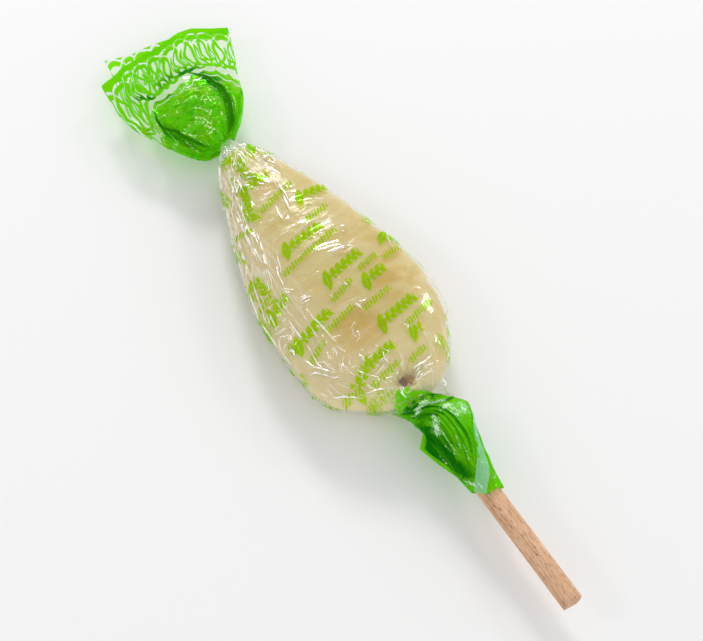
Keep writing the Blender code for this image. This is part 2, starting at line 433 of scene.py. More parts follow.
class Finish:
    """One material, or the light of the room. node() is the only thing that adds nodes to it."""

    def __init__(self, name, group="materials"):
        self.made = getattr(bpy.data, group).new(name)
        self.made.use_nodes = True
        self.tree = self.made.node_tree
        self.tree.nodes.clear()

    def node(self, kind, settings=None, inputs=None, output=None):
        """Adds a node: its settings first, then its sockets' values or links. Returns an output."""
        made = self.tree.nodes.new(kind)
        for name, value in (settings or {}).items():
            if name == "stops":
                ramp_stops = made.color_ramp.elements
                while len(ramp_stops) < len(value):
                    ramp_stops.new(1.0)
                for stop, (place, colour) in zip(ramp_stops, value):
                    stop.position = place
                    stop.color = (*colour, 1.0)
            else:
                setattr(made, name, value)
        for key, value in (inputs or {}).items():
            socket = made.inputs[key]
            if isinstance(value, Wire):
                self.tree.links.new(value.socket, socket)
            elif isinstance(value, tuple) and len(value) == 3 and socket.type == "RGBA":
                socket.default_value = (*value, 1.0)
            else:
                socket.default_value = value
        if output is None:
            output = next((i for i, out in enumerate(made.outputs) if out.enabled), 0)
        return Wire(self, made.outputs[output]) if made.outputs else None

    def place(self):
        """Object coordinates in millimetres of the measuring frame, as a vector."""
        point = self.node("ShaderNodeTexCoord", output="Object")
        inputs = {"Vector": point, "Scale": (1 / MM,) * 3, "Location": tuple(-SHIFT)}
        return self.node("ShaderNodeMapping", {"vector_type": "POINT"}, inputs)

    def mark(self, name):
        """One of the piece's own marks, for its layers and painted light or for its painted glints. It is
        0 on pieces without the mark.
        """
        return self.node("ShaderNodeAttribute", {"attribute_name": name}, output="Fac")

    def split(self, vector):
        """The x, y and z of a vector."""
        parts = self.node("ShaderNodeSeparateXYZ", inputs={"Vector": vector})
        return [Wire(self, part) for part in parts.socket.node.outputs]

    def print_place(self):
        """The piece's print map, as two numbers in millimetres."""
        return self.split(self.node("ShaderNodeUVMap", {"uv_map": "print"}))[:2]

    def noise(self, vector, scale, detail=2.0, roughness=0.5, distortion=0.0):
        """A random value from 0 to 1 that varies over about 1 / scale millimetres."""
        inputs = {"Vector": vector, "Scale": scale, "Detail": detail, "Roughness": roughness}
        inputs["Distortion"] = distortion
        return self.node("ShaderNodeTexNoise", inputs=inputs, output="Fac")

    def stretched(self, vector, scale, turn=0.0):
        """The vector turned about z and scaled, so that a pattern on it is drawn out."""
        inputs = {"Vector": vector, "Scale": scale, "Rotation": (0.0, 0.0, turn)}
        return self.node("ShaderNodeMapping", inputs=inputs)

    def colours(self, factor, first, second):
        """The first colour where the factor is 0, the second where it is 1."""
        inputs = {0: factor, 6: first, 7: second}
        return self.node("ShaderNodeMix", {"data_type": "RGBA"}, inputs, output=2)

    def shaders(self, factor, first, second):
        """The first shader where the factor is 0, the second where it is 1."""
        return self.node("ShaderNodeMixShader", inputs={0: factor, 1: first, 2: second})

    def bump(self, height, distance, strength=1.0):
        """A normal that leans as if the surface had this height, for a distance in metres."""
        inputs = {"Height": height, "Distance": distance, "Strength": strength}
        return self.node("ShaderNodeBump", inputs=inputs)

    def done(self, surface, end="ShaderNodeOutputMaterial"):
        """Ends the nodes in this surface and returns what was made."""
        self.node(end, inputs={"Surface": surface})
        return self.made


# Each ink: its colour for light that goes through, the colour that it scatters, and its cover.
SOLID_INK = ((0.22, 0.54, 0.005), (0.26, 0.98, 0.001), 0.64)
THIN_INK = ((0.76, 0.78, 0.03), (0.38, 0.90, 0.006), 0.46)
# The darkest ink stands for film folded several layers thick and for painted shade in its folds.
LAYERED_SHADED_INK = ((0.004, 0.22, 0.001), (0.002, 0.24, 0.001), 0.88)
AGED_INK = ((0.60, 0.64, 0.02), (0.54, 0.82, 0.008), 0.58)
# The colours that inked and clear film mirror.
INK_SHINE = (0.14, 0.88, 0.06)
WHITE = (1.0, 1.0, 1.0)
# The colour of the haze in clear film.
VEIL = (0.92, 0.91, 0.84)
FILM_REFLECTS = 0.045
FILM_ROUGHNESS = 0.10


def ink_body(finish, ink):
    """Ink on film: part of the light goes through tinted, the rest is scattered to both sides."""
    through, body, cover = ink
    scattered = finish.shaders(
        0.5,
        finish.node("ShaderNodeBsdfDiffuse", inputs={"Color": body}),
        finish.node("ShaderNodeBsdfTranslucent", inputs={"Color": body}),
    )
    passed = finish.node("ShaderNodeBsdfTransparent", inputs={"Color": through})
    return finish.shaders(cover, passed, scattered)


def film_surface(finish, ink, haze, wrinkle, dye, deep=None, veil=VEIL, aged=None):
    """Thin film: clear or inked, with the gloss of its two faces.

    The share that is mirrored is r + (1 - r) * facing^5, where facing runs from 0 seen square on to 1
    seen edge on. The rest passes straight through, tinted where there is ink, apart from the haze of
    the clear film and the cover of the ink, which scatter it. Where the mark for layers and painted
    light is high, a darker ink takes over, for film folded several layers thick and for painted shade."""
    clear = finish.shaders(
        haze,
        finish.node("ShaderNodeBsdfTransparent", inputs={"Color": (0.985, 0.985, 0.98)}),
        finish.node("ShaderNodeBsdfDiffuse", inputs={"Color": veil}),
    )
    printed = ink_body(finish, dye)
    if aged is not None:
        printed = finish.shaders(aged, printed, ink_body(finish, AGED_INK))
    if deep is not None:
        printed = finish.shaders(deep, printed, ink_body(finish, LAYERED_SHADED_INK))
    body = finish.shaders(ink, clear, printed)
    facing = finish.node("ShaderNodeLayerWeight", inputs={"Blend": 0.5}, output="Facing")
    mirrored = (facing**5.0) * (1 - FILM_REFLECTS) + FILM_REFLECTS
    inputs = {"Roughness": FILM_ROUGHNESS, "Normal": wrinkle}
    clear_gloss = finish.node("ShaderNodeBsdfGlossy", inputs={"Color": WHITE, **inputs})
    ink_gloss = finish.node("ShaderNodeBsdfGlossy", inputs={"Color": INK_SHINE, **inputs})
    return finish.shaders(mirrored, body, finish.shaders(ink, clear_gloss, ink_gloss))


def with_painted_glints(finish, point, surface, colour):
    """A film surface with painted glints: a pale diffuse colour wherever its glint mark and a feathery
    noise of strokes 0.2 mm wide come to enough together."""
    streaks = finish.noise(finish.stretched(point, (1.7, 0.5, 1.0), 0.5), 3.0, 3.0, 0.6, 0.4)
    share = (finish.mark("scuff") + (streaks - 0.5) * 2.8).step(0.54, 0.90)
    white = finish.node("ShaderNodeBsdfDiffuse", inputs={"Color": colour})
    return finish.shaders(share * 0.88, surface, white)


def film_wrinkle(finish, point, strength=1.0):
    """Fine crinkles for the gloss: valleys between the cells of a pattern about 1.8 mm apart, and a
    random swell."""
    inputs = {"Vector": point, "Scale": 0.55}
    cells = finish.node(
        "ShaderNodeTexVoronoi", {"feature": "DISTANCE_TO_EDGE"}, inputs, output="Distance"
    )
    swell = finish.noise(point, 0.7, 3.0)
    height = cells.lower(0.25) * 0.5 + swell
    return finish.bump(height, 0.12 * MM, strength)


def worn_specks(finish, point):
    """0 in small round specks where the ink is worn off, 1 elsewhere."""
    return finish.noise(point, 1.1, 4.0, 0.6).step(0.28, 0.36)


def soft_line(distance, half_width, edge=0.07):
    """1 within half_width of a line, 0 outside, with a soft edge."""
    return abs(distance).step(half_width + edge, half_width - edge)


def inside(distance, edge=0.07):
    """1 where a signed distance is negative."""
    return distance.step(edge, -edge)


def leaf(s, t, at, angle, half_length, half_width, edge=0.07):
    """A pointed leaf: |aside| < half_width * (1 - (along / half_length)^2), turned by an angle."""
    cos, sin = math.cos(math.radians(angle)), math.sin(math.radians(angle))
    along = (s - at[0]) * cos + (t - at[1]) * sin
    aside = (t - at[1]) * cos - (s - at[0]) * sin
    return inside(abs(aside) + (along / half_length) ** 2.0 * half_width - half_width, edge)


# The print map of the bag: a sprig lies along its zero line, a row of dashes this much further away, and
# nothing is printed at BLANK.
DASH_ROW = 10.0
BLANK = 30.0


def leaf_print(s, t):
    """The print of the bag: a sprig of leaves and, DASH_ROW away in the map, a row of dashes.

    The sprig is a bold leaf with a bare midrib and pairs of small leaves 1.4 mm apart that slant up
    and down from a stalk. The dashes are plain slanted strokes 0.7 mm apart, taller and shorter in
    turn."""
    bold_at, bold_angle = (0.45, -0.15), 62
    bold = leaf(s, t, bold_at, bold_angle, 2.25, 0.86)
    bold = bold * (1 - leaf(s, t, bold_at, bold_angle, 1.3, 0.06, 0.05))
    pitch = 1.40
    upper = leaf((s - 2.45).wrapped(pitch), t, (0.0, 0.48), 50, 0.92, 0.52)
    lower = leaf((s - 3.15).wrapped(pitch), t, (0.0, -0.44), -50, 0.82, 0.45)
    small = upper.higher(lower) * s.above(1.75)
    stalk = soft_line(t, 0.20) * s.above(1.0) * s.below(8.7)
    sprig = bold.higher(small).higher(stalk) * abs(t).below(2.4)
    low = t - DASH_ROW
    leaning = (s - low * 0.45) / 0.70
    height = (leaning.math("ROUND") * 2.4).math("SINE") * 0.16 + 0.58
    row = soft_line(leaning.wrapped(1.0), 0.31, 0.10) * inside(abs(low) - height)
    return sprig.higher(row)


def oval(u, v, half_width, half_height, middle):
    """The distance, about, in millimetres from the line of an upright oval about (0, middle)."""
    aside, up = u / half_width, (v - middle) / half_height
    return ((aside**2.0 + up**2.0) ** 0.5 - 1.0) * half_width


def lace_print(u, v):
    """The lace border, from the cut edge inwards: a solid band with a scalloped foot, ovals that
    interlace, with slim petals between their lines, loops of three sizes at their feet, a clear gap,
    and then solid ink with a scalloped bare line. A dashed hem runs down from the edge at u = 0.

    u runs along the edge and v away from it. The ovals stand 1.7 from the edge, in two sets half a
    repeat apart. A thin bare line follows the outside of each set and cuts the other."""
    pitch = 3.5
    first = oval(u.wrapped(2 * pitch), v, 2.65, 3.4, 5.1)
    second = oval((u + pitch).wrapped(2 * pitch), v, 2.65, 3.4, 5.1)
    lines = soft_line(first, 0.36, 0.05).higher(soft_line(second, 0.36, 0.05))
    cuts = soft_line(first - 0.38, 0.12, 0.04).higher(soft_line(second - 0.38, 0.12, 0.04))
    band = inside(v - 3.2) * first.lower(second).step(0.54, 0.64)
    petals = soft_line(oval(u.wrapped(pitch), v, 0.34, 1.5, 5.6), 0.16, 0.06)
    loops = 0.0
    for aside, middle, radius in ((0.9, 7.8, 1.05), (-1.6, 8.15, 0.70), (2.7, 7.7, 0.85)):
        around = ((u + aside).wrapped(2 * pitch) ** 2.0 + (v - middle) ** 2.0) ** 0.5
        loops = soft_line(around - radius, 0.30).higher(loops)
    scallop = abs(u.wrapped(pitch) * (math.pi / pitch)).math("COSINE")
    solid = inside(v * -1.0 + 9.85 + scallop * 0.6)
    stripe = soft_line(v - 11.0 - scallop * 0.6, 0.12)
    hem = soft_line(u - 0.25, 0.22) * (v * 0.9).math("SINE").step(-0.5, 0.0)
    ovals = lines * (1 - cuts * 0.9)
    return band.higher(hem).higher(ovals).higher(petals).higher(loops).higher(solid * (1 - stripe))


def green_share(finish, point, x, y):
    """1 on the stick's side of the line where the print turns solid: y = -2.2 - 0.8 * max(0, x + 2.5),
    less 0.25 for each millimetre beyond x = -4, made ragged by a slow noise, with bare gaps in its
    gathered upper part."""
    ragged = finish.noise(point, 0.8, 2.0) * 1.6 - 0.8
    edge = (x + 2.5).higher(0.0) * -0.8 - 2.2 + ragged + (x + 4.0).lower(0.0) * 0.25
    gaps = finish.noise(finish.stretched(point, (0.7, 1.6, 1.0), -0.2), 1.1, 3.0, 0.6)
    bare = gaps.step(0.50, 0.60) * y.step(-6.4, -4.4) * x.step(3.5, 0.5) * 0.8
    return (1 - bare) * (y - edge).step(0.12, -0.12) * (x + ragged * 0.9).step(-5.6, -4.6)


def bag_film():
    """Clear film with the leaf print, turning solid green where it is gathered to the stick. It is hazy
    in pale streaks towards the neck and down the left side, partly the haze of gathered film and partly
    a painted sheen."""
    finish = Finish("printed_bag_film")
    s, t = finish.print_place()
    point = finish.place()
    x, y, _ = finish.split(point)
    sprigs = leaf_print(s, t).higher(print_clumps(finish, point, x, y))
    worn = finish.noise(point, 3.0, 3.0, 0.7).step(0.30, 0.42)
    green = green_share(finish, point, x, y)
    drawn = finish.noise(finish.stretched(point, (1.3, 0.16, 0.8), 0.16), 1.0, 3.0, 0.6, 0.4)
    near_neck = (y - x * 0.9).step(42.0, 60.0)
    down_left = (x + 3.5).step(0.0, -7.0) * y.step(12.0, 34.0) * 0.8
    # Pale streaks: partly haze of the gathered film, partly a painted sheen.
    streaks = drawn.step(0.44, 0.64) * near_neck.higher(down_left) * 0.42
    haze = finish.noise(point, 0.35, 3.0).step(0.35, 0.75) * 0.06 + 0.03
    haze = haze.higher(streaks)
    wrinkle = film_wrinkle(finish, point, 0.18)
    printed = film_surface(finish, sprigs * (worn * 0.3 + 0.7), haze, wrinkle, THIN_INK)
    solid = film_surface(finish, green, haze, wrinkle, SOLID_INK)
    return finish.done(finish.shaders(green, printed, solid))


def pinched_film():
    """Film along a pinched fold, by its mark for painted light: a painted highlight, white and glossy, on
    the lit side of the crest where it is 1, clear where it is one half, and painted shade on the far side
    where it is 0."""
    finish = Finish("pinched_film")
    point = finish.place()
    shading = finish.mark("deep")
    # The pale colour of the painted highlight.
    milky = finish.node("ShaderNodeBsdfDiffuse", inputs={"Color": (1.0, 0.96, 0.86)})
    inputs = {"Color": WHITE, "Roughness": 0.22, "Normal": film_wrinkle(finish, point, 0.4)}
    gloss = finish.node("ShaderNodeBsdfGlossy", inputs=inputs)
    clear = finish.node("ShaderNodeBsdfTransparent", inputs={"Color": WHITE})
    shaded = finish.node("ShaderNodeBsdfTransparent", inputs={"Color": (0.66, 0.58, 0.38)})
    bare = finish.shaders(shading.step(0.5, 0.0), clear, shaded)
    white = shading.step(0.5, 0.92)
    return finish.done(finish.shaders(white, bare, finish.shaders(0.35, milky, gloss)))


# Where the print is squeezed together: x, y, and the half lengths of the place across and along.
PRINT_CLUMPS = (
    ((-0.2, 56.8), (2.7, 2.5)),
    ((-4.6, 47.6), (1.2, 4.6)),
    ((-7.6, 51.0), (0.8, 3.6)),
    ((-12.2, 39.4), (0.9, 4.6)),
    ((-14.0, 29.2), (1.1, 1.6)),
    ((-16.4, 23.4), (0.9, 3.4)),
    ((-14.4, 16.0), (1.3, 1.4)),
    ((-16.1, 10.0), (0.8, 1.6)),
    ((4.6, 54.8), (1.7, 0.9)),
    ((9.2, 0.6), (0.9, 2.8)),
    ((-7.0, -1.4), (3.4, 1.2)),
    ((12.2, 30.6), (0.9, 1.6)),
)


def print_clumps(finish, point, x, y):
    """Print squeezed into streaks where the film is gathered or turns over its rims, within the round
    places of PRINT_CLUMPS."""
    hills = [away_from(at, size, x, y).step(1.2, 0.4) for at, size in PRINT_CLUMPS]
    places = functools.reduce(Wire.higher, hills)
    streaks = finish.noise(finish.stretched(point, (2.4, 0.5, 1.0), -0.25), 1.0, 3.0, 0.6, 0.5)
    return streaks.step(0.44, 0.54) * places * 0.85


def collar_film():
    """Green film with worn specks and a small pale ring near its cut edge, clear beyond the line where
    the print ends. Its marks add darker ink for layers and painted shade, and painted glints."""
    finish = Finish("green_collar_film")
    point = finish.place()
    x, y, _ = finish.split(point)
    specks = worn_specks(finish, point)
    ring = ((x - 1.6).wrapped(1.9) ** 2.0 + (y + 24.2) ** 2.0) ** 0.5
    rings = soft_line(ring - 0.62, 0.10, 0.08) * y.below(-22.9) * x.above(0.6)
    ink = green_share(finish, point, x, y) * (specks * 0.35 + 0.65) * (1 - rings * 0.8)
    wrinkle = film_wrinkle(finish, point, 0.5)
    surface = film_surface(finish, ink, 0.05, wrinkle, SOLID_INK, finish.mark("deep"))
    return finish.done(with_painted_glints(finish, point, surface, (0.66, 0.93, 0.62)))


def lace_film():
    """The film of the fan, printed with the lace border. Where the film is bunched the ink is mottled,
    darker where it lies double and paler where it is worn. Its marks add darker ink for layers and
    painted shade, and painted glints."""
    finish = Finish("lace_film")
    u, v = finish.print_place()
    point = finish.place()
    x, y, _ = finish.split(point)
    bunched = (y + abs(x + 1.0) * 0.15).step(79.0, 76.0)
    mottle = finish.noise(finish.stretched(point, (0.7, 1.3, 1.0), -0.5), 0.62, 2.5, 0.6, 0.9)
    worn = mottle.step(0.46, 0.36) * bunched * 0.22
    ink = lace_print(u, v) * (1 - worn)
    doubled = mottle.step(0.52, 0.62) * bunched * 0.42
    aged = finish.noise(point, 0.42, 2.5, 0.6, 0.6).step(0.44, 0.66) * bunched * 0.50
    deep = finish.mark("deep").higher(doubled)
    haze = finish.noise(point, 0.5, 2.0) * 0.05 + 0.03
    wrinkle = film_wrinkle(finish, point, 0.25)
    surface = film_surface(finish, ink, haze, wrinkle, SOLID_INK, deep, (0.94, 0.95, 0.70), aged)
    return finish.done(with_painted_glints(finish, point, surface, (0.74, 0.92, 0.40)))


def solid_film(name, clear_share, haze_share, strength=1.0, veil=VEIL):
    """Film that is printed all over, with worn specks, or almost clear film where clear_share is 1. Its
    marks add darker ink for layers and painted shade, and painted glints.
    """
    finish = Finish(name)
    point = finish.place()
    ink = (worn_specks(finish, point) * 0.5 + 0.5) * (1 - clear_share)
    haze = finish.noise(point, 0.8, 2.0) * 0.1 + haze_share
    wrinkle = film_wrinkle(finish, point, strength)
    surface = film_surface(finish, ink, haze, wrinkle, SOLID_INK, finish.mark("deep"), veil)
    return finish.done(with_painted_glints(finish, point, surface, (0.72, 0.94, 0.66)))


def sweet_sugar():
    """Boiled sugar: cream with amber where it is clearer, milky bands drawn across it, and light that
    spreads under its surface."""
    finish = Finish("boiled_sugar")
    point = finish.place()
    x, y, _ = finish.split(point)
    cloudy = finish.noise(point, 0.10, 2.0).step(0.35, 0.65)
    drawn = finish.stretched(point, (0.07, 0.34, 0.25), math.radians(14))
    bands = finish.noise(drawn, 1.0, 3.0, 0.5, 0.8).step(0.35, 0.7)
    dip = away_from(DIP_AT, (5.5, 4.2), x, y).step(1.6, 0.1)
    warm = away_from((9.0, 22.0), (5.5, 11.0), x, y).step(1.5, 0.0)
    right = x.step(-9.0, 10.0) * 0.18
    amber = (dip * 0.9).higher(warm * 0.45) + cloudy * 0.25 - bands * 0.35 + right
    colour = finish.colours(amber.step(0.0, 1.0), (0.66, 0.54, 0.20), (0.60, 0.40, 0.045))
    pale = (x * 0.8 + y).step(14.0, -4.0).higher((x + 3.0).step(0.0, -8.0)) * 0.5
    colour = finish.colours(pale, colour, (0.80, 0.70, 0.44))
    colour = finish.colours(bands * 0.30, colour, (0.74, 0.66, 0.40))
    relief = finish.noise(point, 0.35, 3.0) + bands * 0.3
    inputs = {
        "Base Color": colour,
        "Roughness": 0.28,
        "IOR": 1.5,
        "Subsurface Weight": 0.7,
        "Subsurface Radius": (1.0, 0.75, 0.4),
        "Subsurface Scale": 3.0 * MM,
        "Normal": finish.bump(relief, 0.25 * MM),
    }
    return finish.done(finish.node("ShaderNodeBsdfPrincipled", inputs=inputs))


def stick_wood():
    """Smooth pale hardwood: streaks of grain along the stick and short dark flecks. It is soiled at its
    free end, and wet where it lies in the sweet, in a brown that is darker towards -x and by a noise."""
    finish = Finish("turned_hardwood")
    point = finish.place()
    x, y, _ = finish.split(point)
    grain = finish.noise(finish.stretched(point, (3.2, 0.12, 3.2)), 1.0, 5.0, 0.6)
    fibre = finish.noise(finish.stretched(point, (9.0, 0.35, 9.0)), 1.0, 3.0, 0.6)
    flecks = finish.noise(finish.stretched(point, (5.5, 0.75, 5.5)), 1.0, 2.0, 0.5).step(0.60, 0.67)
    colour = finish.node(
        "ShaderNodeValToRGB",
        {"stops": [(0.34, (0.46, 0.22, 0.10)), (0.5, (0.72, 0.42, 0.24)), (0.66, (0.86, 0.60, 0.41))]},
        {"Fac": grain * 0.6 + fibre * 0.4},
    )
    colour = finish.colours(flecks * 0.7, colour, (0.24, 0.10, 0.045))
    soiled = (y - STICK_END).step(1.2, 0.0) * finish.noise(point, 1.5, 3.0).step(0.35, 0.65)
    colour = finish.colours(soiled * 0.5, colour, (0.30, 0.16, 0.09))
    wet = y.step(-4.5, -2.0)
    # The wet part is darker towards -x and by a noise.
    darker_to_left = (finish.noise(point, 0.9, 3.0, 0.6) - x * 0.10).step(0.36, 0.62)
    wet_colour = finish.colours(darker_to_left, (0.62, 0.36, 0.10), (0.20, 0.075, 0.004))
    colour = finish.colours(wet, colour, wet_colour)
    relief = finish.bump(fibre * 0.6 - flecks * 0.5, 0.12 * MM)
    inputs = {"Base Color": colour, "Roughness": 0.62, "Normal": relief}
    return finish.done(finish.node("ShaderNodeBsdfPrincipled", inputs=inputs))


def outline_at(outline, y):
    """The left, right and vertical half sizes of an outline at places along it, in the places' shape."""
    return smooth_through(outline, np.ravel(y)).T.reshape(3, *np.shape(y))


def section(outline, y, turn, squareness):
    """Superellipse sections through an outline: x = half width * cos^(2/n) and z = half height *
    sin^(2/n), for a squareness n."""
    left, right, half_height = outline_at(outline, y)
    across = rounded_power(np.cos(turn), squareness)
    up = rounded_power(np.sin(turn), squareness)
    x = np.where(across > 0, right, left) * across
    return np.stack([x, y + 0 * x, half_height * up], axis=-1)


def make_sweet(material):
    """The boiled sweet: superellipse sections inside the film, with drawn ripples across its face of
    0.08 mm, a shallow dip, and a ragged notch where the stick goes in, closed at both ends."""
    low, high = SWEET_OUTLINE[0][0], SWEET_OUTLINE[-1][0]
    share = (1 - np.cos(np.linspace(0, math.pi, 190))) / 2
    y = (low + (high - low) * share)[:, None]
    full = ramp(y, 0, 6) * ramp(-y, -57, -45)
    grid = section(SWEET_OUTLINE, y, round_turn(180), 2 + 0.25 * full)
    swell = 0.08 * waves(grid, 5.0, 3, (3, 1, 1)) * full
    dip = 0.35 * blob(grid[..., 0], grid[..., 1], DIP_AT, (4, 3.4)) * (grid[..., 2] > 0)
    grid = grid + normals_of(grid, True) * (swell - dip)[..., None]
    ragged = 0.20 * waves(grid, 1.3, 4)
    notch = blob(grid[..., 0] + ragged, grid[..., 1] - ragged, NOTCH_AT, (2.3, 1.35))
    grid[..., 2] *= 1 - 0.84 * notch * (grid[..., 2] > 0)
    keep_above_table(grid, 0.25)
    rows, columns = grid.shape[:2]
    points = np.vstack([grid.reshape(-1, 3), grid[0].mean(0), grid[-1].mean(0)])
    low_pole, high_pole = rows * columns + np.array([[0], [1]]).repeat(columns, 1)
    here = np.arange(columns)
    beside = (here + 1) % columns
    last = (rows - 1) * columns
    low_cap = np.stack([low_pole, here, beside], axis=1)
    high_cap = np.stack([high_pole, last + beside, last + here], axis=1)
    faces = grid_faces(grid, closed=True)
    build("boiled_sweet", points, faces, material, caps=np.vstack([low_cap, high_cap]))


# How many pleats the film is gathered into round the stick.
GATHERS = 12
# How far the pleats have wound round the stick, in radians, by their place along it.
WINDING = (
    (-26.2, 0.9), (-19.6, 0.4), (-16.5, 0.12), (-13.5, 0.0), (-11.0, 0.05), (-9.0, 0.25), (-7.9, 0.7),
    (-7.2, 1.2), (-6.4, 1.7), (-4.9, 2.3),
)
WOUND = WINDING[-1][1]


def gathered(film, y):
    """The angle and the swelling share of the pleats that gather the film to the stick.

    A pleat laps over itself: the angle is f + A sin(12 f) / 12 for a place f round the film, which
    runs back where A is more than 1, while the radius swells by sin(12 f + 1.2). The pleats wind
    round the stick as WINDING says, and A fades out in the foot of the bag and on the smooth lobe at
    the right."""
    below = 1 - ramp(y, BAG_START - 0.5, 2.0)
    fade = ramp(y, -27.5, -19.0) * below
    here = np.stack([3 * np.cos(film) + 0 * y, y + 0 * film, 3 * np.sin(film) + 0 * y], axis=-1)
    uneven = 1 + 0.5 * waves(here, 6.0, 81, (1, 2.5, 1))
    winding = np.interp(y, *np.array(WINDING).T)
    lobe = ramp(np.cos(film + winding - 0.45), 0.45, 0.9) * ramp(y, -17.0, -12.0) * ramp(-y, 6.0, 8.0)
    strength = fade * uneven * (1 - 0.9 * lobe)
    wound = film + 0.3 * below * waves(here, 9.0, 83)
    turn = wound + 1.3 * strength * np.sin(GATHERS * wound) / GATHERS + winding
    return turn, 0.055 * strength * np.sin(GATHERS * wound + 1.2)


# Broad swells of the film over the face: line, width, height.
FACE_SWELLS = (
    (((-6.5, 29.4), (-2.6, 28.9), (1.9, 28.2), (6.0, 26.6), (10.5, 24.2)), 1.25, 0.42),
    (((-4.5, 31.6), (1.0, 32.4), (5.6, 32.2), (9.5, 30.0)), 1.0, 0.32),
    (((1.5, 41.6), (5.0, 39.9), (8.5, 37.6), (11.5, 35.6)), 1.0, 0.3),
    (((-6.0, 35.6), (-2.8, 36.5), (3.3, 35.7)), 0.8, 0.18),
    (((-6.5, 40.4), (-2.9, 40.2), (0.0, 39.5)), 0.7, 0.18),
    (((-5.0, 45.0), (0.5, 44.8), (6.5, 42.5)), 1.0, 0.22),
    (((-1.0, 21.0), (5.5, 20.5), (12.0, 17.8)), 1.3, 0.22),
    (((1.5, 15.6), (7.0, 15.0), (12.6, 12.0)), 1.2, 0.2),
)

# Sharp creases on the face: line, width, height. A negative height is a valley.
FACE_CREASES = (
    (((2.0, 55.5), (2.3, 54.9), (4.8, 53.7), (4.3, 50.7), (5.0, 47.0)), 0.9, 0.4),
    (((2.3, 50.1), (2.3, 44.3), (0.0, 40.1), (-2.1, 39.0), (0.2, 38.1)), 0.6, 0.3),
    (((-1.0, 58.4), (-3.4, 54.8), (-5.8, 51.1), (-6.8, 44.0), (-10.0, 40.3)), 0.7, 0.4),
    (((-4.0, 47.2), (-6.4, 39.3), (-8.3, 36.3), (-10.7, 30.3), (-12.6, 26.3)), 0.55, 0.42),
    (((-12.6, 26.3), (-14.2, 24.8), (-15.0, 24.1), (-15.2, 21.6)), 0.6, 0.4),
    (((-8.6, 31.2), (-9.6, 26.9)), 0.5, 0.25),
    (((-10.8, 25.0), (-10.6, 22.7), (-12.6, 21.0), (-14.3, 20.7), (-15.7, 20.9)), 0.55, 0.38),
    (((-9.7, 22.2), (-7.7, 22.6), (-5.0, 22.6), (-3.0, 21.5)), 0.7, 0.34),
    (((-7.7, 22.6), (-8.6, 18.4), (-8.4, 16.0), (-8.0, 12.9), (-7.6, 8.5)), 0.55, 0.42),
    (((-8.6, 12.4), (-10.0, 9.5), (-8.8, 5.0)), 0.5, 0.34),
    (((-15.2, 14.0), (-14.2, 13.4), (-13.6, 10.8), (-11.7, 7.5), (-10.4, 5.9)), 0.7, 0.42),
    (((-14.7, 9.7), (-13.1, 7.2), (-11.0, 4.4)), 0.6, 0.3),
    (((-0.8, 17.0), (-0.6, 16.4), (-0.3, 12.8)), 0.5, 0.26),
    (((-4.7, 7.1), (-3.2, 6.6), (-1.0, 6.5)), 0.5, 0.26),
    (((-6.4, 1.9), (-5.5, 2.3), (-0.8, 4.6), (0.9, 4.6)), 0.55, 0.36),
    (((0.7, 4.7), (0.7, 2.6), (-1.6, 0.3), (-4.9, 0.6)), 0.5, 0.34),
    (((-4.7, 1.4), (-4.3, 0.9), (-2.7, -1.6), (-0.6, -3.4)), 0.5, 0.34),
    (((-1.3, -1.4), (2.6, -0.3), (5.1, -0.6), (7.8, 1.2)), 0.5, 0.4),
    (((0.3, -2.1), (3.4, -2.1), (6.2, -1.2)), 0.5, 0.3),
    (((-10.4, 0.8), (-8.4, 1.0), (-5.1, -0.9), (-4.3, -1.4), (-2.3, -4.0)), 0.55, 0.36),
    (((-6.6, 5.0), (-7.6, 3.4), (-7.1, 0.8)), 0.5, 0.3),
    (((9.0, 9.5), (8.0, 5.5), (6.5, 2.5), (5.0, -0.5)), 0.7, 0.34),
    (((11.5, 7.5), (10.5, 4.0), (8.0, 0.8), (5.8, -2.6)), 0.6, 0.36),
    (((4.8, 7.8), (3.4, 4.6), (3.0, 1.4)), 0.6, 0.3),
)


def face_relief(x, y):
    """Height of the film's own folds over the face: swells and sharp creases."""
    total = np.zeros(x.shape)
    for line, width, height in FACE_SWELLS:
        total += height * stroke(x, y, line, width, 5, 0.1)
    for line, width, height in FACE_CREASES:
        total += crease(x, y, line, width, height)
    return total


# Where the film of the bag is crumpled most: how much, x and y, and the half sizes of the place.
CRUMPLED = ((0.15, (-10, 14), (6.5, 11)), (0.13, (9, 1), (6, 6)), (0.12, (-6, 3), (8, 5)))


def squareness_at(y):
    """2 at the ends of the bag, where its sections are ellipses, and 2.35 over the sweet."""
    return 2 + 0.35 * ramp(y, BAG_START, BAG_START + 8) * ramp(-y, -NECK, -NECK + 14)


def bag_base(turn, y):
    """The bag before its folds: sections of the film's outline, gathered at the stick."""
    lapped, swell = gathered(turn - WOUND, y)
    grid = section(FILM_OUTLINE, y, lapped, squareness_at(y))
    grid[..., ::2] *= 1 + swell[..., None]
    return grid


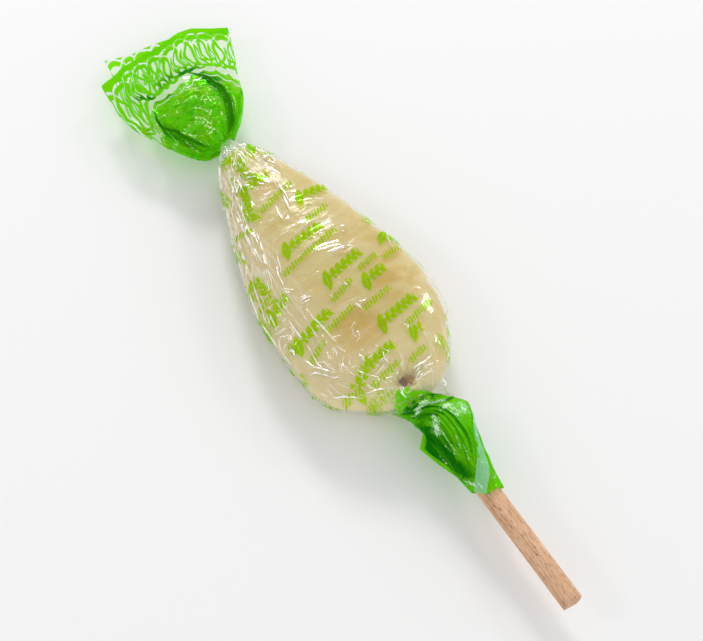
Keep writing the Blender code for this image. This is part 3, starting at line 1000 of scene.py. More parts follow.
def bag_surface(turn, y):
    """The bag at angles round it and places along it: its base, pushed along the normals by the folds.

    The push is the face's named folds, pleats of 11 and 24 to a turn that run into the neck, others
    that run down the left side, and random crumples that are strongest at the rims and in CRUMPLED."""
    grid = bag_base(turn, y)
    around = bag_base(turn + 0.004, y) - bag_base(turn - 0.004, y)
    onward = bag_base(turn, y + 0.02) - bag_base(turn, y - 0.02)
    normal = unit(np.cross(onward, around))
    x, along, z = grid[..., 0], grid[..., 1], grid[..., 2]
    half_height = outline_at(FILM_OUTLINE, y)[2]
    front = ramp(z / half_height, 0.05, 0.45)
    near_neck = ramp(along, 42, 60)
    fold_turn = turn + 0.035 * (along - 60) * near_neck + 0.10 * waves(grid, 14, 11)
    pleats = 0.24 * pleated(fold_turn * 5.5) + 0.14 * pleated(fold_turn * 12 + 1)
    left_pleats = ramp(-x, 2, 7) * ramp(along, 30, 44) * ramp(-along, -60, -50)
    rough = 0.02 + 0.08 * (1 - front) + 0.05 * near_neck
    for amount, at, size in CRUMPLED:
        rough = rough + amount * blob(x, along, at, size)
    push = front * face_relief(x, along)
    push = push + near_neck * pleats * np.minimum(1, half_height / 2.0)
    push = push + left_pleats * 0.16 * crumple(grid, 2.6, 31, (1, 7, 1))
    push = push + rough * crumple(grid, 5.5, 21, (1, 1.6, 1)) + 0.2 * rough * crumple(grid, 2.6, 22)
    push = push + 0.08 * waves(grid, 9, 23, (2.4, 1, 1)) * front * ramp(-along, -52, -40)
    push = (push - 0.12) * ramp(along, BAG_START, BAG_START + 2.5)
    return grid + normal * push[..., None], normal


def make_bag(material):
    """The film drawn over the sweet, in one closed sleeve from the collar to the neck, with more rows
    where it is gathered and more columns on its face."""
    foot_top, neck_foot = 8, 48
    y = np.concatenate([
        np.linspace(BAG_START, foot_top, 70)[:-1],
        np.linspace(foot_top, neck_foot, 140)[:-1],
        np.linspace(neck_foot, NECK + 0.4, 72),
    ])[:, None]
    turn = np.concatenate([np.linspace(0, math.pi, 221)[:-1], np.linspace(math.pi, TURN, 121)[:-1]])
    grid, _ = bag_surface(turn[None, :], y)
    keep_above_table(grid, 0.03)
    build("film_bag", grid, grid_faces(grid, closed=True), material, print_map=bag_print_map(grid))


# Pinched folds that stand on the film of the face: line, width, and how strong the painted highlight
# on their crest and the painted shade at their foot are.
PINCHES = (
    (((2.4, 54.7), (3.6, 54.4), (4.6, 53.6)), 0.9, 0.9),
    (((4.6, 53.6), (4.8, 52.5), (4.4, 50.9)), 0.5, 0.9),
    (((2.4, 48.8), (2.5, 47.2), (2.1, 44.7), (1.7, 42.4), (2.6, 41.5)), 0.5, 0.9),
    (((1.7, 44.2), (1.1, 42.1), (0.6, 40.6), (-0.5, 39.2)), 0.45, 0.8),
    (((-0.9, 42.8), (-1.6, 40.4), (-1.9, 38.3), (0.0, 38.9)), 0.4, 0.8),
    (((-1.6, 39.7), (-1.5, 38.6), (0.1, 39.2)), 0.3, 0.7),
    (((-5.4, 40.4), (-4.2, 40.2), (-3.1, 40.1), (-2.8, 40.8)), 0.35, 0.8),
    (((-6.2, 35.6), (-4.7, 36.3), (-3.3, 36.3), (-1.8, 36.1)), 0.25, 0.6),
    (((-0.8, 35.9), (-0.4, 35.2), (1.3, 35.6), (3.1, 35.8)), 0.45, 0.85),
    (((-0.9, 31.3), (0.9, 31.9), (2.4, 32.1), (3.6, 31.6)), 0.4, 0.8),
    (((-6.1, 34.2), (-7.1, 32.5), (-7.8, 30.3), (-7.6, 29.8)), 0.4, 0.8),
    (((-7.5, 39.4), (-7.7, 37.4), (-8.8, 34.8), (-9.9, 32.1), (-10.8, 30.0)), 0.45, 0.8),
    (((-3.1, 56.1), (-4.4, 53.7), (-5.3, 51.4), (-6.5, 49.3), (-8.3, 47.3), (-9.6, 45.7)), 0.4, 0.7),
    (((-5.5, 47.8), (-7.3, 44.7), (-9.3, 41.8)), 0.3, 0.6),
    (((-6.8, 44.3), (-7.5, 42.6), (-8.9, 41.1)), 0.3, 0.6),
    (((-1.7, 53.1), (-0.1, 52.4)), 0.7, 0.6),
    (((-3.2, 50.5), (-2.1, 49.9)), 0.7, 0.6),
    (((-2.1, 51.8), (-0.2, 51.1)), 0.5, 0.5),
    (((-0.8, 49.2), (0.0, 48.7), (-0.7, 48.3)), 0.6, 0.9),
    (((-1.2, 56.6), (-2.9, 54.4), (-4.0, 53.0), (-5.1, 50.9)), 0.35, 0.8),
    (((-0.7, 55.6), (-2.2, 53.9), (-3.3, 52.5), (-4.9, 50.8), (-6.1, 49.4)), 0.35, 0.8),
    (((-2.5, 53.8), (-2.9, 52.2), (-4.2, 51.3), (-5.6, 49.7)), 0.3, 0.7),
    (((-3.1, 44.9), (-1.6, 45.6), (-0.6, 46.0)), 0.3, 0.6),
    (((2.0, 51.2), (2.4, 49.8), (2.5, 48.5)), 0.25, 0.5),
    (((3.7, 40.6), (5.5, 39.8), (7.4, 38.4)), 0.9, 0.55),
    (((-4.9, 29.5), (-3.1, 30.3), (-1.1, 31.5), (1.3, 32.6)), 0.5, 0.4),
    (((-10.9, 39.8), (-11.5, 37.4), (-12.4, 35.3), (-14.1, 33.1)), 0.35, 0.4),
    (((-9.3, 38.2), (-11.0, 35.3), (-13.0, 32.3)), 0.35, 0.4),
    (((-6.7, 39.9), (-8.3, 36.1), (-9.9, 33.8)), 0.6, 0.35),
    (((-8.4, 48.5), (-10.3, 44.7), (-10.7, 42.9)), 0.35, 0.5),
    (((0.2, 58.7), (-1.5, 56.8), (-2.8, 55.5)), 0.4, 0.5),
    (((-3.4, 57.1), (-2.7, 56.7), (-3.0, 55.6), (-3.8, 55.1)), 0.4, 0.6),
    (((-10.0, 32.5), (-10.9, 30.8), (-11.4, 28.9), (-12.1, 27.3)), 0.4, 0.8),
    (((-9.6, 32.2), (-10.6, 29.1), (-11.5, 27.4)), 0.3, 0.6),
    (((-8.1, 31.2), (-8.9, 29.4), (-9.2, 27.7), (-9.3, 26.8)), 0.4, 0.8),
    (((-9.9, 26.5), (-8.5, 25.2), (-7.4, 24.0), (-7.8, 22.9)), 0.35, 0.7),
    (((-10.7, 25.2), (-11.5, 23.9), (-11.5, 22.7), (-10.6, 22.9), (-10.2, 23.9), (-10.4, 25.1)),
      0.3, 0.7),
    (((-11.1, 22.4), (-12.3, 21.4), (-13.7, 21.0), (-15.5, 21.1)), 0.3, 0.7),
    (((-12.4, 25.2), (-14.0, 25.0), (-14.6, 24.4), (-15.0, 22.6), (-15.3, 21.3)), 0.35, 0.8),
    (((-16.0, 20.6), (-15.0, 20.1), (-13.3, 19.8), (-12.7, 19.2), (-12.8, 18.3), (-13.8, 17.6),
      (-15.0, 17.6), (-16.3, 17.1)), 0.35, 0.8),
    (((-16.3, 17.1), (-15.7, 18.5), (-14.9, 19.3), (-14.3, 18.6), (-13.0, 18.8)), 0.35, 0.8),
    (((-9.1, 22.3), (-7.9, 22.7), (-6.6, 22.2), (-5.9, 21.8)), 0.4, 0.95),
    (((-8.6, 22.1), (-7.4, 22.1), (-6.3, 21.8)), 0.7, 0.95),
    (((-9.2, 22.0), (-8.2, 21.5), (-6.9, 21.5)), 0.3, 0.9),
    (((-7.5, 22.8), (-5.6, 22.8)), 0.25, 0.8),
    (((-7.9, 21.8), (-8.3, 20.2), (-8.6, 18.2), (-8.3, 16.3), (-8.2, 14.7), (-7.9, 12.2), (-7.7, 9.9)),
      0.35, 0.85),
    (((-9.2, 11.7), (-8.1, 11.0), (-7.9, 9.8), (-7.3, 8.9)), 0.4, 0.85),
    (((-8.9, 10.8), (-8.9, 9.8), (-9.6, 9.1)), 0.3, 0.7),
    (((-8.5, 12.3), (-7.4, 12.6), (-6.3, 12.2)), 0.35, 0.6),
    (((-8.8, 12.8), (-8.6, 11.2), (-7.6, 9.9)), 0.3, 0.6),
    (((-7.5, 8.6), (-7.1, 7.3), (-6.5, 5.9), (-8.7, 6.0)), 0.4, 0.85),
    (((-8.2, 8.3), (-8.9, 8.0), (-9.2, 7.0), (-8.6, 6.0)), 0.35, 0.8),
    (((-7.6, 8.0), (-8.2, 6.3)), 0.3, 0.7),
    (((-8.0, 8.9), (-9.5, 7.2), (-11.0, 6.0)), 0.35, 0.7),
    (((-15.1, 16.9), (-14.8, 15.5), (-15.1, 14.5)), 0.7, 0.6),
    (((-14.4, 13.8), (-13.9, 12.1), (-13.5, 10.3), (-12.4, 8.8), (-10.7, 6.6), (-9.7, 6.2),
      (-8.8, 6.8)), 0.4, 0.8),
    (((-15.3, 9.6), (-14.1, 9.5), (-12.9, 8.1), (-11.8, 6.4), (-10.7, 5.7), (-9.6, 5.9)), 0.6, 0.8),
    (((-13.1, 10.9), (-11.6, 9.9), (-11.4, 8.4), (-10.5, 6.9)), 0.3, 0.6),
    (((-15.4, 32.9), (-16.3, 30.2), (-17.2, 27.7)), 0.45, 0.8),
    (((-15.8, 25.2), (-16.7, 22.3), (-17.2, 18.5), (-17.1, 15.3), (-17.0, 11.1), (-17.3, 9.2)),
      0.5, 0.35),
    (((-16.5, 5.4), (-16.0, 4.7), (-14.3, 4.1), (-12.1, 2.8), (-10.0, 1.2), (-9.0, 0.4)), 0.35, 0.7),
    (((-16.8, 5.4), (-17.0, 6.8), (-16.4, 8.4), (-15.4, 8.9)), 0.35, 0.35),
    (((-15.2, 6.3), (-14.4, 4.8), (-14.3, 4.1)), 0.3, 0.35),
    (((-12.8, 6.4), (-11.8, 5.4), (-10.7, 3.5), (-9.5, 2.4)), 0.3, 0.35),
    (((-3.9, 25.4), (-2.3, 25.4)), 0.3, 0.7),
    (((0.0, 20.8), (0.3, 19.8)), 0.3, 0.7),
    (((-3.8, 20.0), (-3.1, 19.8)), 0.5, 0.7),
    (((-20.0, 19.0), (-19.5, 15.9), (-19.1, 12.2), (-18.7, 8.6), (-18.0, 5.9)), 0.25, 0.4),
    (((-5.1, 7.8), (-3.9, 6.3), (-1.9, 6.4)), 0.5, 0.85),
    (((-5.4, 3.0), (-3.2, 4.0), (-0.4, 4.6)), 0.35, 0.8),
    (((-5.6, 2.2), (-3.2, 2.9), (-1.3, 3.9)), 0.35, 0.7),
    (((0.6, 3.7), (0.4, 2.1), (-1.6, 0.5), (-3.2, 0.5)), 0.35, 0.85),
    (((-6.8, 4.4), (-7.7, 3.4), (-7.7, 2.0), (-7.0, 1.2)), 0.3, 0.8),
    (((-9.6, 0.8), (-8.3, 0.8), (-6.1, -0.2), (-4.3, -1.3), (-3.4, -2.4), (-2.3, -4.2)), 0.35, 0.85),
    (((-0.1, -1.3), (2.4, -0.2), (4.2, -0.2), (5.6, 0.1), (6.9, 0.7), (6.9, 1.6)), 0.5, 0.9),
    (((1.1, -2.1), (3.2, -1.1), (5.5, -1.1)), 0.4, 0.8),
    (((5.8, 2.6), (6.5, 2.7)), 0.5, 0.9),
    (((-0.8, 16.3), (-0.3, 15.1), (-0.3, 13.4)), 0.7, 0.95),
    (((0.3, 15.7), (1.7, 15.6)), 0.5, 0.8),
    (((-4.4, 12.1), (-2.9, 12.8), (-2.9, 12.1)), 0.25, 0.7),
    (((-4.7, 11.1), (-3.3, 11.0), (-3.8, 9.6)), 0.25, 0.7),
    (((-3.7, 12.1), (-4.4, 11.3), (-4.2, 10.2)), 0.25, 0.7),
    (((-4.9, 9.4), (-3.7, 9.8)), 0.25, 0.7),
    (((0.7, 27.7), (2.5, 27.4), (4.5, 27.0), (6.3, 26.1)), 0.9, 0.95),
    (((6.6, 31.5), (7.4, 30.5)), 1.0, 0.8),
    (((-0.9, 21.4), (-0.7, 21.2)), 0.4, 0.6),
    (((0.2, 20.8), (0.3, 20.1)), 0.3, 0.6),
    (((-3.8, 19.9), (-3.2, 19.7)), 0.4, 0.6),
    (((4.4, 7.6), (5.2, 7.2)), 0.3, 0.5),
    (((6.4, -1.3), (4.8, -4.2), (3.0, -6.1)), 0.35, 0.5),
    (((8.4, -1.4), (6.2, -4.7), (4.0, -6.8)), 0.35, 0.5),
    (((-4.2, 1.0), (-2.9, 0.5), (-1.8, 0.4), (-0.7, 1.2), (-0.3, 1.5)), 0.35, 0.8),
    (((-0.7, -3.5), (0.1, -3.1), (0.9, -2.4), (2.7, -2.2), (4.6, -2.3)), 0.3, 0.7),
    (((-5.3, -0.6), (-4.6, -1.2), (-3.4, -1.8), (-2.9, -3.1), (-2.2, -4.1)), 0.35, 0.8),
    (((5.2, -3.0), (4.8, -4.8), (3.4, -6.3)), 0.4, 0.6),
)


def radiating_folds(dice, count, starts, shares, lengths, whitest=0.95):
    """Random folds that run along the bag: each keeps to its share of the half width, with small
    kinks, from a start for some millimetres towards the stick."""
    folds = []
    for _ in range(count):
        start, length = dice.uniform(*starts), dice.uniform(*lengths)
        y = start - np.linspace(0, length, 6)
        share = dice.uniform(*shares) + np.linspace(0, dice.normal(0, 0.05), 6)
        share = share + dice.normal(0, 0.008, 6)
        left, right, _ = outline_at(FILM_OUTLINE, y)
        x = np.where(share > 0, right, left) * np.clip(share, -0.985, 0.985)
        folds.append((np.column_stack([x, y]), dice.uniform(0.16, 0.34), dice.uniform(0.2, whitest)))
    return folds


def all_folds():
    """The traced folds, each with two finer and shorter ones beside it, and the random ones of the
    left side, the neck, the right rim and the foot."""
    dice = np.random.default_rng(7)
    folds = []
    for line, width, white in PINCHES:
        line = np.array(line, float)
        folds.append((line, 0.72 * width, white))
        for _ in range(2):
            first = dice.uniform(0, 0.5)
            last = first + dice.uniform(0.3, 0.5)
            track = straight_line(line, 9, first, last)
            folds.append((track + dice.normal(0, 0.42, 2), 0.4 * width, white * dice.uniform(0.5, 1.0)))
    folds += radiating_folds(dice, 26, (24, 57), (-0.985, -0.55), (7, 22), 0.62)
    folds += radiating_folds(dice, 22, (54, 61), (-0.95, 0.9), (3, 9), 0.6)
    folds += radiating_folds(dice, 8, (4, 36), (0.86, 0.98), (3, 9))
    folds += radiating_folds(dice, 12, (3, 8), (-0.95, 0.95), (3, 6), 0.8)
    return folds


def make_pinches(material):
    """The pinched folds of the bag in one piece. Each follows its line over the bag's own surface, and
    its section is an arch, lift * (1 - c^2) for c from -1 to 1 across it. A painted highlight lies on
    the crest a little to its left, and painted shade on the foot at its right."""
    count, columns = 32, 9
    across = np.linspace(-1, 1, columns)[None, :]
    share = np.linspace(0, 1, count)[:, None]
    taper = 0.25 + 0.75 * np.sqrt(np.sin(math.pi * share))
    crest = np.clip(1 - ((across + 0.25) / 0.72) ** 2, 0, 1)
    far = np.clip(1 - ((across - 0.62) / 0.36) ** 2, 0, 1)
    folds = []
    for line, width, white in all_folds():
        track = straight_line(line, count)
        heading = unit(np.gradient(track, axis=0))
        reach = across * taper * width * 0.62
        x = track[:, :1] + heading[:, 1:] * reach
        y = track[:, 1:] - heading[:, :1] * reach
        lift = (min(0.25 * width, 0.12) * (1 - across**2) + 0.015) * taper
        # Painted light across each fold: a highlight about the crest, shade about its far foot.
        tone = fading(share, 6, 0.1) * (min(1.7 * white, 1.0) * crest - 0.8 * white * far)
        folds.append((x, y, lift, tone))
    x, y, lift, tone = (np.vstack(values) for values in zip(*folds))
    left, right, _ = outline_at(FILM_OUTLINE, y)
    part = np.clip(np.abs(x) / np.where(x > 0, right, left), 0, 0.99)
    turn = np.arccos(np.sign(x) * part ** (squareness_at(y) / 2))
    grid, normal = bag_surface(turn, y)
    grid = grid + normal * lift[..., None]
    keep_above_table(grid, 0.1)
    # The mark is 0.5 on clear film, more for the painted highlight and less for the painted shade.
    deep = 0.5 + 0.5 * tone * np.clip(0.75 + 0.5 * waves(grid, 1.8, 101), 0, 1)
    one = grid_faces(grid[:count])
    faces = (one[None] + (np.arange(len(folds)) * count * columns)[:, None, None]).reshape(-1, 4)
    build("film_pinches", grid, faces, material, deep=deep)


# Where the sprigs of the print lie on the face: x, y of the start, angle in degrees, length.
SPRIGS = (
    (3.3, 41.7, 2, 6.6),
    (-5.4, 32.8, 7, 9.2),
    (11.9, 26.1, -20, 4.0),
    (-2.6, 23.0, 12, 9.2),
    (3.3, 18.8, 10, 5.3),
    (0.8, 9.9, 11, 9.2),
    (-14.1, 15.3, 14, 9.2),
    (4.8, 5.7, 5, 2.6),
    (-5.8, 4.4, 10, 6.6),
    (-4.5, 49.5, 8, 6.6),
    (-14.4, 30.6, 8, 2.6),
    (-15.0, 23.0, 20, 5.3),
    (-3.2, 52.0, 84, 6.6),
    (-1.4, 51.5, 88, 5.3),
    (-6.4, 43.0, 70, 5.3),
    (-13.4, 26.0, 70, 4.0),
    (2.2, 57.6, 10, 2.6),
    (-10.1, 1.4, 38, 5.3),
)
# The two ends of each row of dashes on the face, as the camera sees them, in pixels.
DASHES = (
    ((262, 210), (292, 180)),
    ((307, 218), (327, 203)),
    ((285, 272), (335, 228)),
    ((360, 267), (376, 251)),
    ((385, 253), (399, 240)),
    ((334, 298), (351, 279)),
    ((366, 307), (389, 286)),
    ((409, 321), (432, 295)),
    ((327, 330), (354, 305)),
    ((311, 358), (324, 339)),
    ((412, 359), (426, 344)),
    ((375, 384), (399, 361)),
    ((257, 305), (271, 291)),
    ((346, 396), (360, 388)),
    ((236, 233), (253, 228)),
)

# How far a sprig and a row of dashes reach to both sides of their lines.
SPRIG_REACH, DASH_REACH = 2.4, 0.95


def bag_print_map(grid):
    """For every corner of every face, its place in the print: within a sprig's or a dash row's own
    box the distance along and across it, and a blank part of the map elsewhere. On the underside the
    print repeats every 14 mm across and 9 mm along, and each row is shifted by 5.5 mm."""
    corners = four_corners(np.hstack([grid, grid[:, :1]]))
    middle = corners.mean(1)
    result = np.zeros((len(corners), 4, 2))
    result[..., 1] = BLANK
    for shift, reach, (x0, y0, angle, length) in print_places():
        cos, sin = math.cos(math.radians(angle)), math.sin(math.radians(angle))
        aside, ahead = corners[..., 0] - x0, corners[..., 1] - y0
        s = aside * cos + ahead * sin
        t = ahead * cos - aside * sin
        within = (s.mean(1) > -0.6) & (s.mean(1) < length) & (np.abs(t.mean(1)) < reach)
        chosen = within & (middle[:, 2] > 0)
        result[chosen, :, 0] = s[chosen]
        result[chosen, :, 1] = t[chosen] + shift
    repeat, spacing = 14.0, 9.0
    row = np.floor(middle[:, 1] / spacing)[:, None]
    s = np.mod(corners[..., 0] + 5.5 * row + 20, repeat)
    t = corners[..., 1] - row * spacing - spacing / 2
    dashed = t > 1.8
    cut = dashed.any(1) & ~dashed.all(1)
    t = np.where(dashed, t - 3.0 + DASH_ROW, t) + BLANK * cut[:, None]
    below = (middle[:, 2] < 0) & (middle[:, 1] > 1) & (np.ptp(s, axis=1) <= repeat / 2)
    result[below, :, 0] = s[below]
    result[below, :, 1] = t[below]
    result[below & (s.mean(1) > 9.2), :, 1] = BLANK
    return result


def print_places():
    """Every sprig and every row of dashes of the face, as its shift in the print map, its reach, and
    (x, y, angle, length)."""
    places = [(0.0, SPRIG_REACH, sprig) for sprig in SPRIGS]
    for start, end in DASHES:
        (x0, y0, _), (x1, y1, _) = face_place(start), face_place(end)
        angle = math.degrees(math.atan2(y1 - y0, x1 - x0))
        places.append((DASH_ROW, DASH_REACH, (x0, y0, angle, math.hypot(x1 - x0, y1 - y0))))
    return places


# The picture's size in pixels, the lens and the sensor's width in millimetres, the camera's turn about Z
# and rise above the table, its distance from the point that it looks at, and that point.
WIDTH, HEIGHT = 703, 641
LENS, SENSOR = 85.0, 36.0
CAMERA_TURN, CAMERA_RISE = math.radians(-34), math.radians(64)
CAMERA_FROM = 312.0
LOOK_AT = np.array([-1.3293, 16.1231, 0.0])
TO_RIGHT = np.array([math.cos(CAMERA_TURN), math.sin(CAMERA_TURN), 0.0])
TO_TOP = np.array([
    -math.sin(CAMERA_TURN) * math.sin(CAMERA_RISE),
    math.cos(CAMERA_TURN) * math.sin(CAMERA_RISE),
    math.cos(CAMERA_RISE),
])
TO_CAMERA = np.cross(TO_RIGHT, TO_TOP)
EYE = LOOK_AT + CAMERA_FROM * TO_CAMERA


def picture_place(pixel, z):
    """The point at height z that the camera sees at a pixel."""
    focal = LENS / SENSOR * WIDTH
    ray = -TO_CAMERA + ((pixel[0] - WIDTH / 2) * TO_RIGHT - (pixel[1] - HEIGHT / 2) * TO_TOP) / focal
    return EYE + ray * (z - EYE[2]) / ray[2]


def face_place(pixel):
    """The place on the bag's upper face that the camera sees at a pixel, in five rounds."""
    z = 5.0
    for _ in range(5):
        point = picture_place(pixel, z)
        z = float(smooth_through(FILM_OUTLINE, [point[1]])[0][2])
    return point


def set_camera():
    """The camera at EYE, level with TO_RIGHT, so that TO_TOP is up in the picture."""
    data = bpy.data.cameras.new("camera")
    data.lens = LENS
    data.sensor_width = SENSOR
    data.sensor_fit = "HORIZONTAL"
    data.clip_start = 0.01
    data.clip_end = 10.0
    camera = add("camera", data)
    turn = Matrix([TO_RIGHT, TO_TOP, TO_CAMERA]).transposed()
    camera.matrix_world = Matrix.Translation(Vector((EYE + SHIFT) * MM)) @ turn.to_4x4()
    bpy.context.scene.camera = camera


# The softboxes: name, azimuth and rise in degrees, width and height in metres, and radiance.
SOFTBOXES = (
    ("key", 64, 30, (0.20, 0.15), 33.0),
    ("left_box", 150, 38, (0.11, 0.11), 11.0),
    ("right_box", 12, 34, (0.12, 0.12), 12.0),
    ("front_box", -100, 50, (0.10, 0.10), 9.0),
)
# Their distance in metres from the place that they look at, and that place, inside the bag.
SOFTBOX_AWAY = 0.9
SOFTBOX_AIM = Vector((0, 0, 0.005))


def set_light():
    """A key softbox beyond the top of the picture and small ones at the left, right and front that draw
    glints on the folds. The power of each in watts is its radiance * pi * width * height."""
    for name, azimuth, rise, size, radiance in SOFTBOXES:
        data = bpy.data.lights.new(name, "AREA")
        data.shape = "RECTANGLE"
        data.size, data.size_y = size
        data.energy = radiance * math.pi * size[0] * size[1]
        a, e = math.radians(azimuth), math.radians(rise)
        heading = Vector((math.cos(e) * math.cos(a), math.cos(e) * math.sin(a), math.sin(e)))
        light = add(name, data)
        light.location = heading * SOFTBOX_AWAY + SOFTBOX_AIM
        light.rotation_euler = heading.to_track_quat("Z", "Y").to_euler()


def set_room():
    """A room like a light tent: a dim ceiling, and walls that are bright behind the camera and dimmer
    beyond the lollipop, where the azimuth is 105 degrees."""
    room = Finish("room", "worlds")
    x, y, z = room.split(room.node("ShaderNodeTexCoord", output="Generated"))
    beyond = math.radians(105)
    tent = z.step(0.80, 0.55) * 0.38 + 0.62
    lean = (x * math.cos(beyond) + y * math.sin(beyond)) * -0.40 + 1.0
    inputs = {"Color": WHITE, "Strength": tent * lean * 0.93}
    background = room.node("ShaderNodeBackground", inputs=inputs)
    bpy.context.scene.world = room.done(background, "ShaderNodeOutputWorld")


def make_floor():
    """The table: a pale, faintly mottled square with sides of 6 m."""
    finish = Finish("pale_floor")
    mottle = finish.noise(finish.place(), 0.02, 2.0) * 0.006
    colour = finish.colours(mottle, (0.90, 0.90, 0.90), (0.86, 0.86, 0.86))
    inputs = {"Base Color": colour, "Roughness": 0.9, "Specular IOR Level": 0.0}
    half = 3.0
    corners = [(-half, -half, 0), (half, -half, 0), (half, half, 0), (-half, half, 0)]
    mesh = bpy.data.meshes.new("floor")
    mesh.from_pydata(corners, [], [(0, 1, 2, 3)])
    mesh.materials.append(finish.done(finish.node("ShaderNodeBsdfPrincipled", inputs=inputs)))
    add("floor", mesh)


# How far the cut edge of the front and the back sheet of the fan bulges past a straight line: x, bulge.
FRONT_RIM = (
    (-13.8, 0.0), (-10.8, 0.3), (-8.4, 1.3), (-6.1, 1.7), (-3.7, 1.7), (-0.9, 1.6), (1.2, 1.6),
    (3.2, 2.1), (5.2, 2.7), (8.4, 2.7), (11.8, 1.2), (15.2, 0.0),
)
BACK_RIM = (
    (-13.8, 4.7), (-9.5, 7.0), (-6.5, 6.7), (-3.3, 6.2), (-0.5, 6.0), (1.9, 5.6), (4.2, 5.3),
    (6.5, 5.1), (9.2, 4.0), (12.4, 2.4), (15.2, 0.6),
)
# The length of the fan, and how far its edge hangs down.
FAN_LENGTH = 26.0
FAN_DROOP = 0.9
# The dome of bunched film in the middle of the fan: its place, half sizes and height, and the half sizes
# of its crumpled part.
DOME_AT = (-2.2, 70.4)
DOME_SIZE = (5.8, 6.3)
DOME_HEIGHT = 1.7
BUNCH_SIZE = (5.6, 6.2)

# Painted shade on the front sheet, where it also lies several layers thick: line, reach, and how dark.
FAN_SHADES = (
    (((-11.3, 80.6), (-9.0, 80.5), (-7.5, 79.1), (-6.6, 77.9), (-4.8, 77.1), (-3.1, 76.5)), 0.7, 0.9),
    (((-1.3, 80.5), (1.1, 80.1), (3.4, 79.4), (4.4, 76.7), (5.8, 75.3), (6.9, 73.7)), 0.9, 0.9),
    (((-5.5, 80.0), (-3.0, 80.8), (-0.5, 81.2)), 0.9, 0.6),
    (((2.9, 77.6), (4.3, 74.5), (4.8, 71.1), (4.3, 68.0), (3.1, 65.4), (1.2, 63.4)), 1.0, 0.8),
    (((-9.2, 74.4), (-9.4, 71.8), (-8.2, 68.6), (-6.6, 65.6), (-5.0, 63.2)), 0.9, 0.7),
    (((-4.5, 72.0), (-1.5, 71.0), (1.5, 71.5)), 1.2, 0.2),
)

# Lines of painted glint on the front sheet: line, width.
FAN_GLINTS = (
    (((-8.2, 75.6), (-6.4, 76.4), (-3.5, 76.9), (-0.9, 76.8), (1.6, 75.4), (3.2, 73.1), (3.8, 70.3)),
      0.13),
    (((-4.3, 75.4), (-2.2, 75.6), (0.1, 74.9), (1.6, 73.0)), 0.12),
    (((-0.6, 72.2), (1.1, 72.3), (2.0, 71.0)), 0.16),
    (((-0.5, 71.2), (1.0, 70.6), (1.9, 69.2)), 0.12),
    (((-2.7, 70.9), (-1.2, 69.5), (-0.3, 67.3)), 0.14),
    (((-3.5, 69.0), (-2.1, 67.5), (-0.9, 65.3)), 0.12),
    (((-2.8, 66.5), (-1.6, 65.2), (-0.7, 63.5)), 0.14),
    (((-8.7, 73.6), (-7.5, 73.5), (-7.3, 72.6)), 0.26),
    (((-8.0, 69.4), (-6.5, 67.6), (-5.2, 65.5)), 0.18),
    (((-7.2, 66.5), (-6.8, 65.0), (-5.8, 62.6)), 0.13),
    (((-10.0, 71.4), (-10.3, 69.2), (-10.3, 68.0)), 0.14),
    (((-9.0, 67.5), (-8.5, 66.8), (-7.7, 67.5)), 0.18),
    (((2.1, 75.0), (4.0, 73.3), (4.8, 70.3), (3.9, 67.2)), 0.11),
    (((-0.8, 79.2), (0.8, 78.6), (-0.4, 77.7), (-1.5, 78.7)), 0.12),
    (((-7.5, 86.4), (-7.7, 82.8), (-7.4, 79.3)), 0.1),
    (((-7.5, 79.2), (-10.4, 77.7), (-12.4, 77.0), (-13.5, 75.7)), 0.1),
    (((5.6, 76.0), (6.7, 72.6), (6.4, 69.2), (4.6, 66.4)), 0.1),
)
# The fan's print map, away from the edge: the clear gap before the solid ink, and that ink.
BARE_GAP = 9.4
SOLID_FROM = 11.8


def dome_glints(dice, count):
    """Short random lines of painted glint round the dome of the fan, fewer of them on its left side."""
    lines = []
    for _ in range(count):
        turn, reach = dice.uniform(-2.6, 2.8), dice.uniform(0.14, 1.0) ** 0.5
        turns = turn + np.linspace(-0.5, 0.5, 5) * dice.uniform(0.5, 1.8) / (6.0 * reach)
        x = DOME_AT[0] + BUNCH_SIZE[0] * reach * np.cos(turns) + dice.normal(0, 0.1, 5)
        y = DOME_AT[1] + BUNCH_SIZE[1] * reach * np.sin(turns) + dice.normal(0, 0.1, 5)
        lines.append((np.column_stack([x, y]), dice.uniform(0.05, 0.10)))
    return lines


def fan_point(share, turn):
    """The fan at a share of its length and an angle round it: 0 is the fold at the right, half a turn
    the open side at the left, with the front sheet between them above and the back sheet below.

    Sections are ellipses between the two sides of the outline; the rim's own curve and a dome over
    the bunched middle are added, and it droops towards the table."""
    sides = smooth_through(FAN_OUTLINE, share[:, 0]).T[:, :, None]
    left_x, left_y, right_x, right_y, half_height = sides
    share = share + 0 * turn
    cos, sin = np.cos(turn), np.sin(turn)
    x = (left_x + right_x) / 2 + (right_x - left_x) / 2 * cos
    line = (left_y + right_y) / 2 + (right_y - left_y) / 2 * cos
    front, back = (np.interp(0.7 + 14.5 * cos, *np.array(rim).T) for rim in (FRONT_RIM, BACK_RIM))
    y = line + np.where(sin >= 0, front, back) * share**2
    dome = DOME_HEIGHT * np.exp(-(away_from(DOME_AT, DOME_SIZE, x, y) ** 1.7))
    z = half_height * sin + dome * np.maximum(0, sin) ** 0.5
    z = z + share * (0.5 * np.sin(0.38 * x + 0.6) - FAN_DROOP)
    return np.stack([x, y, z], axis=-1)


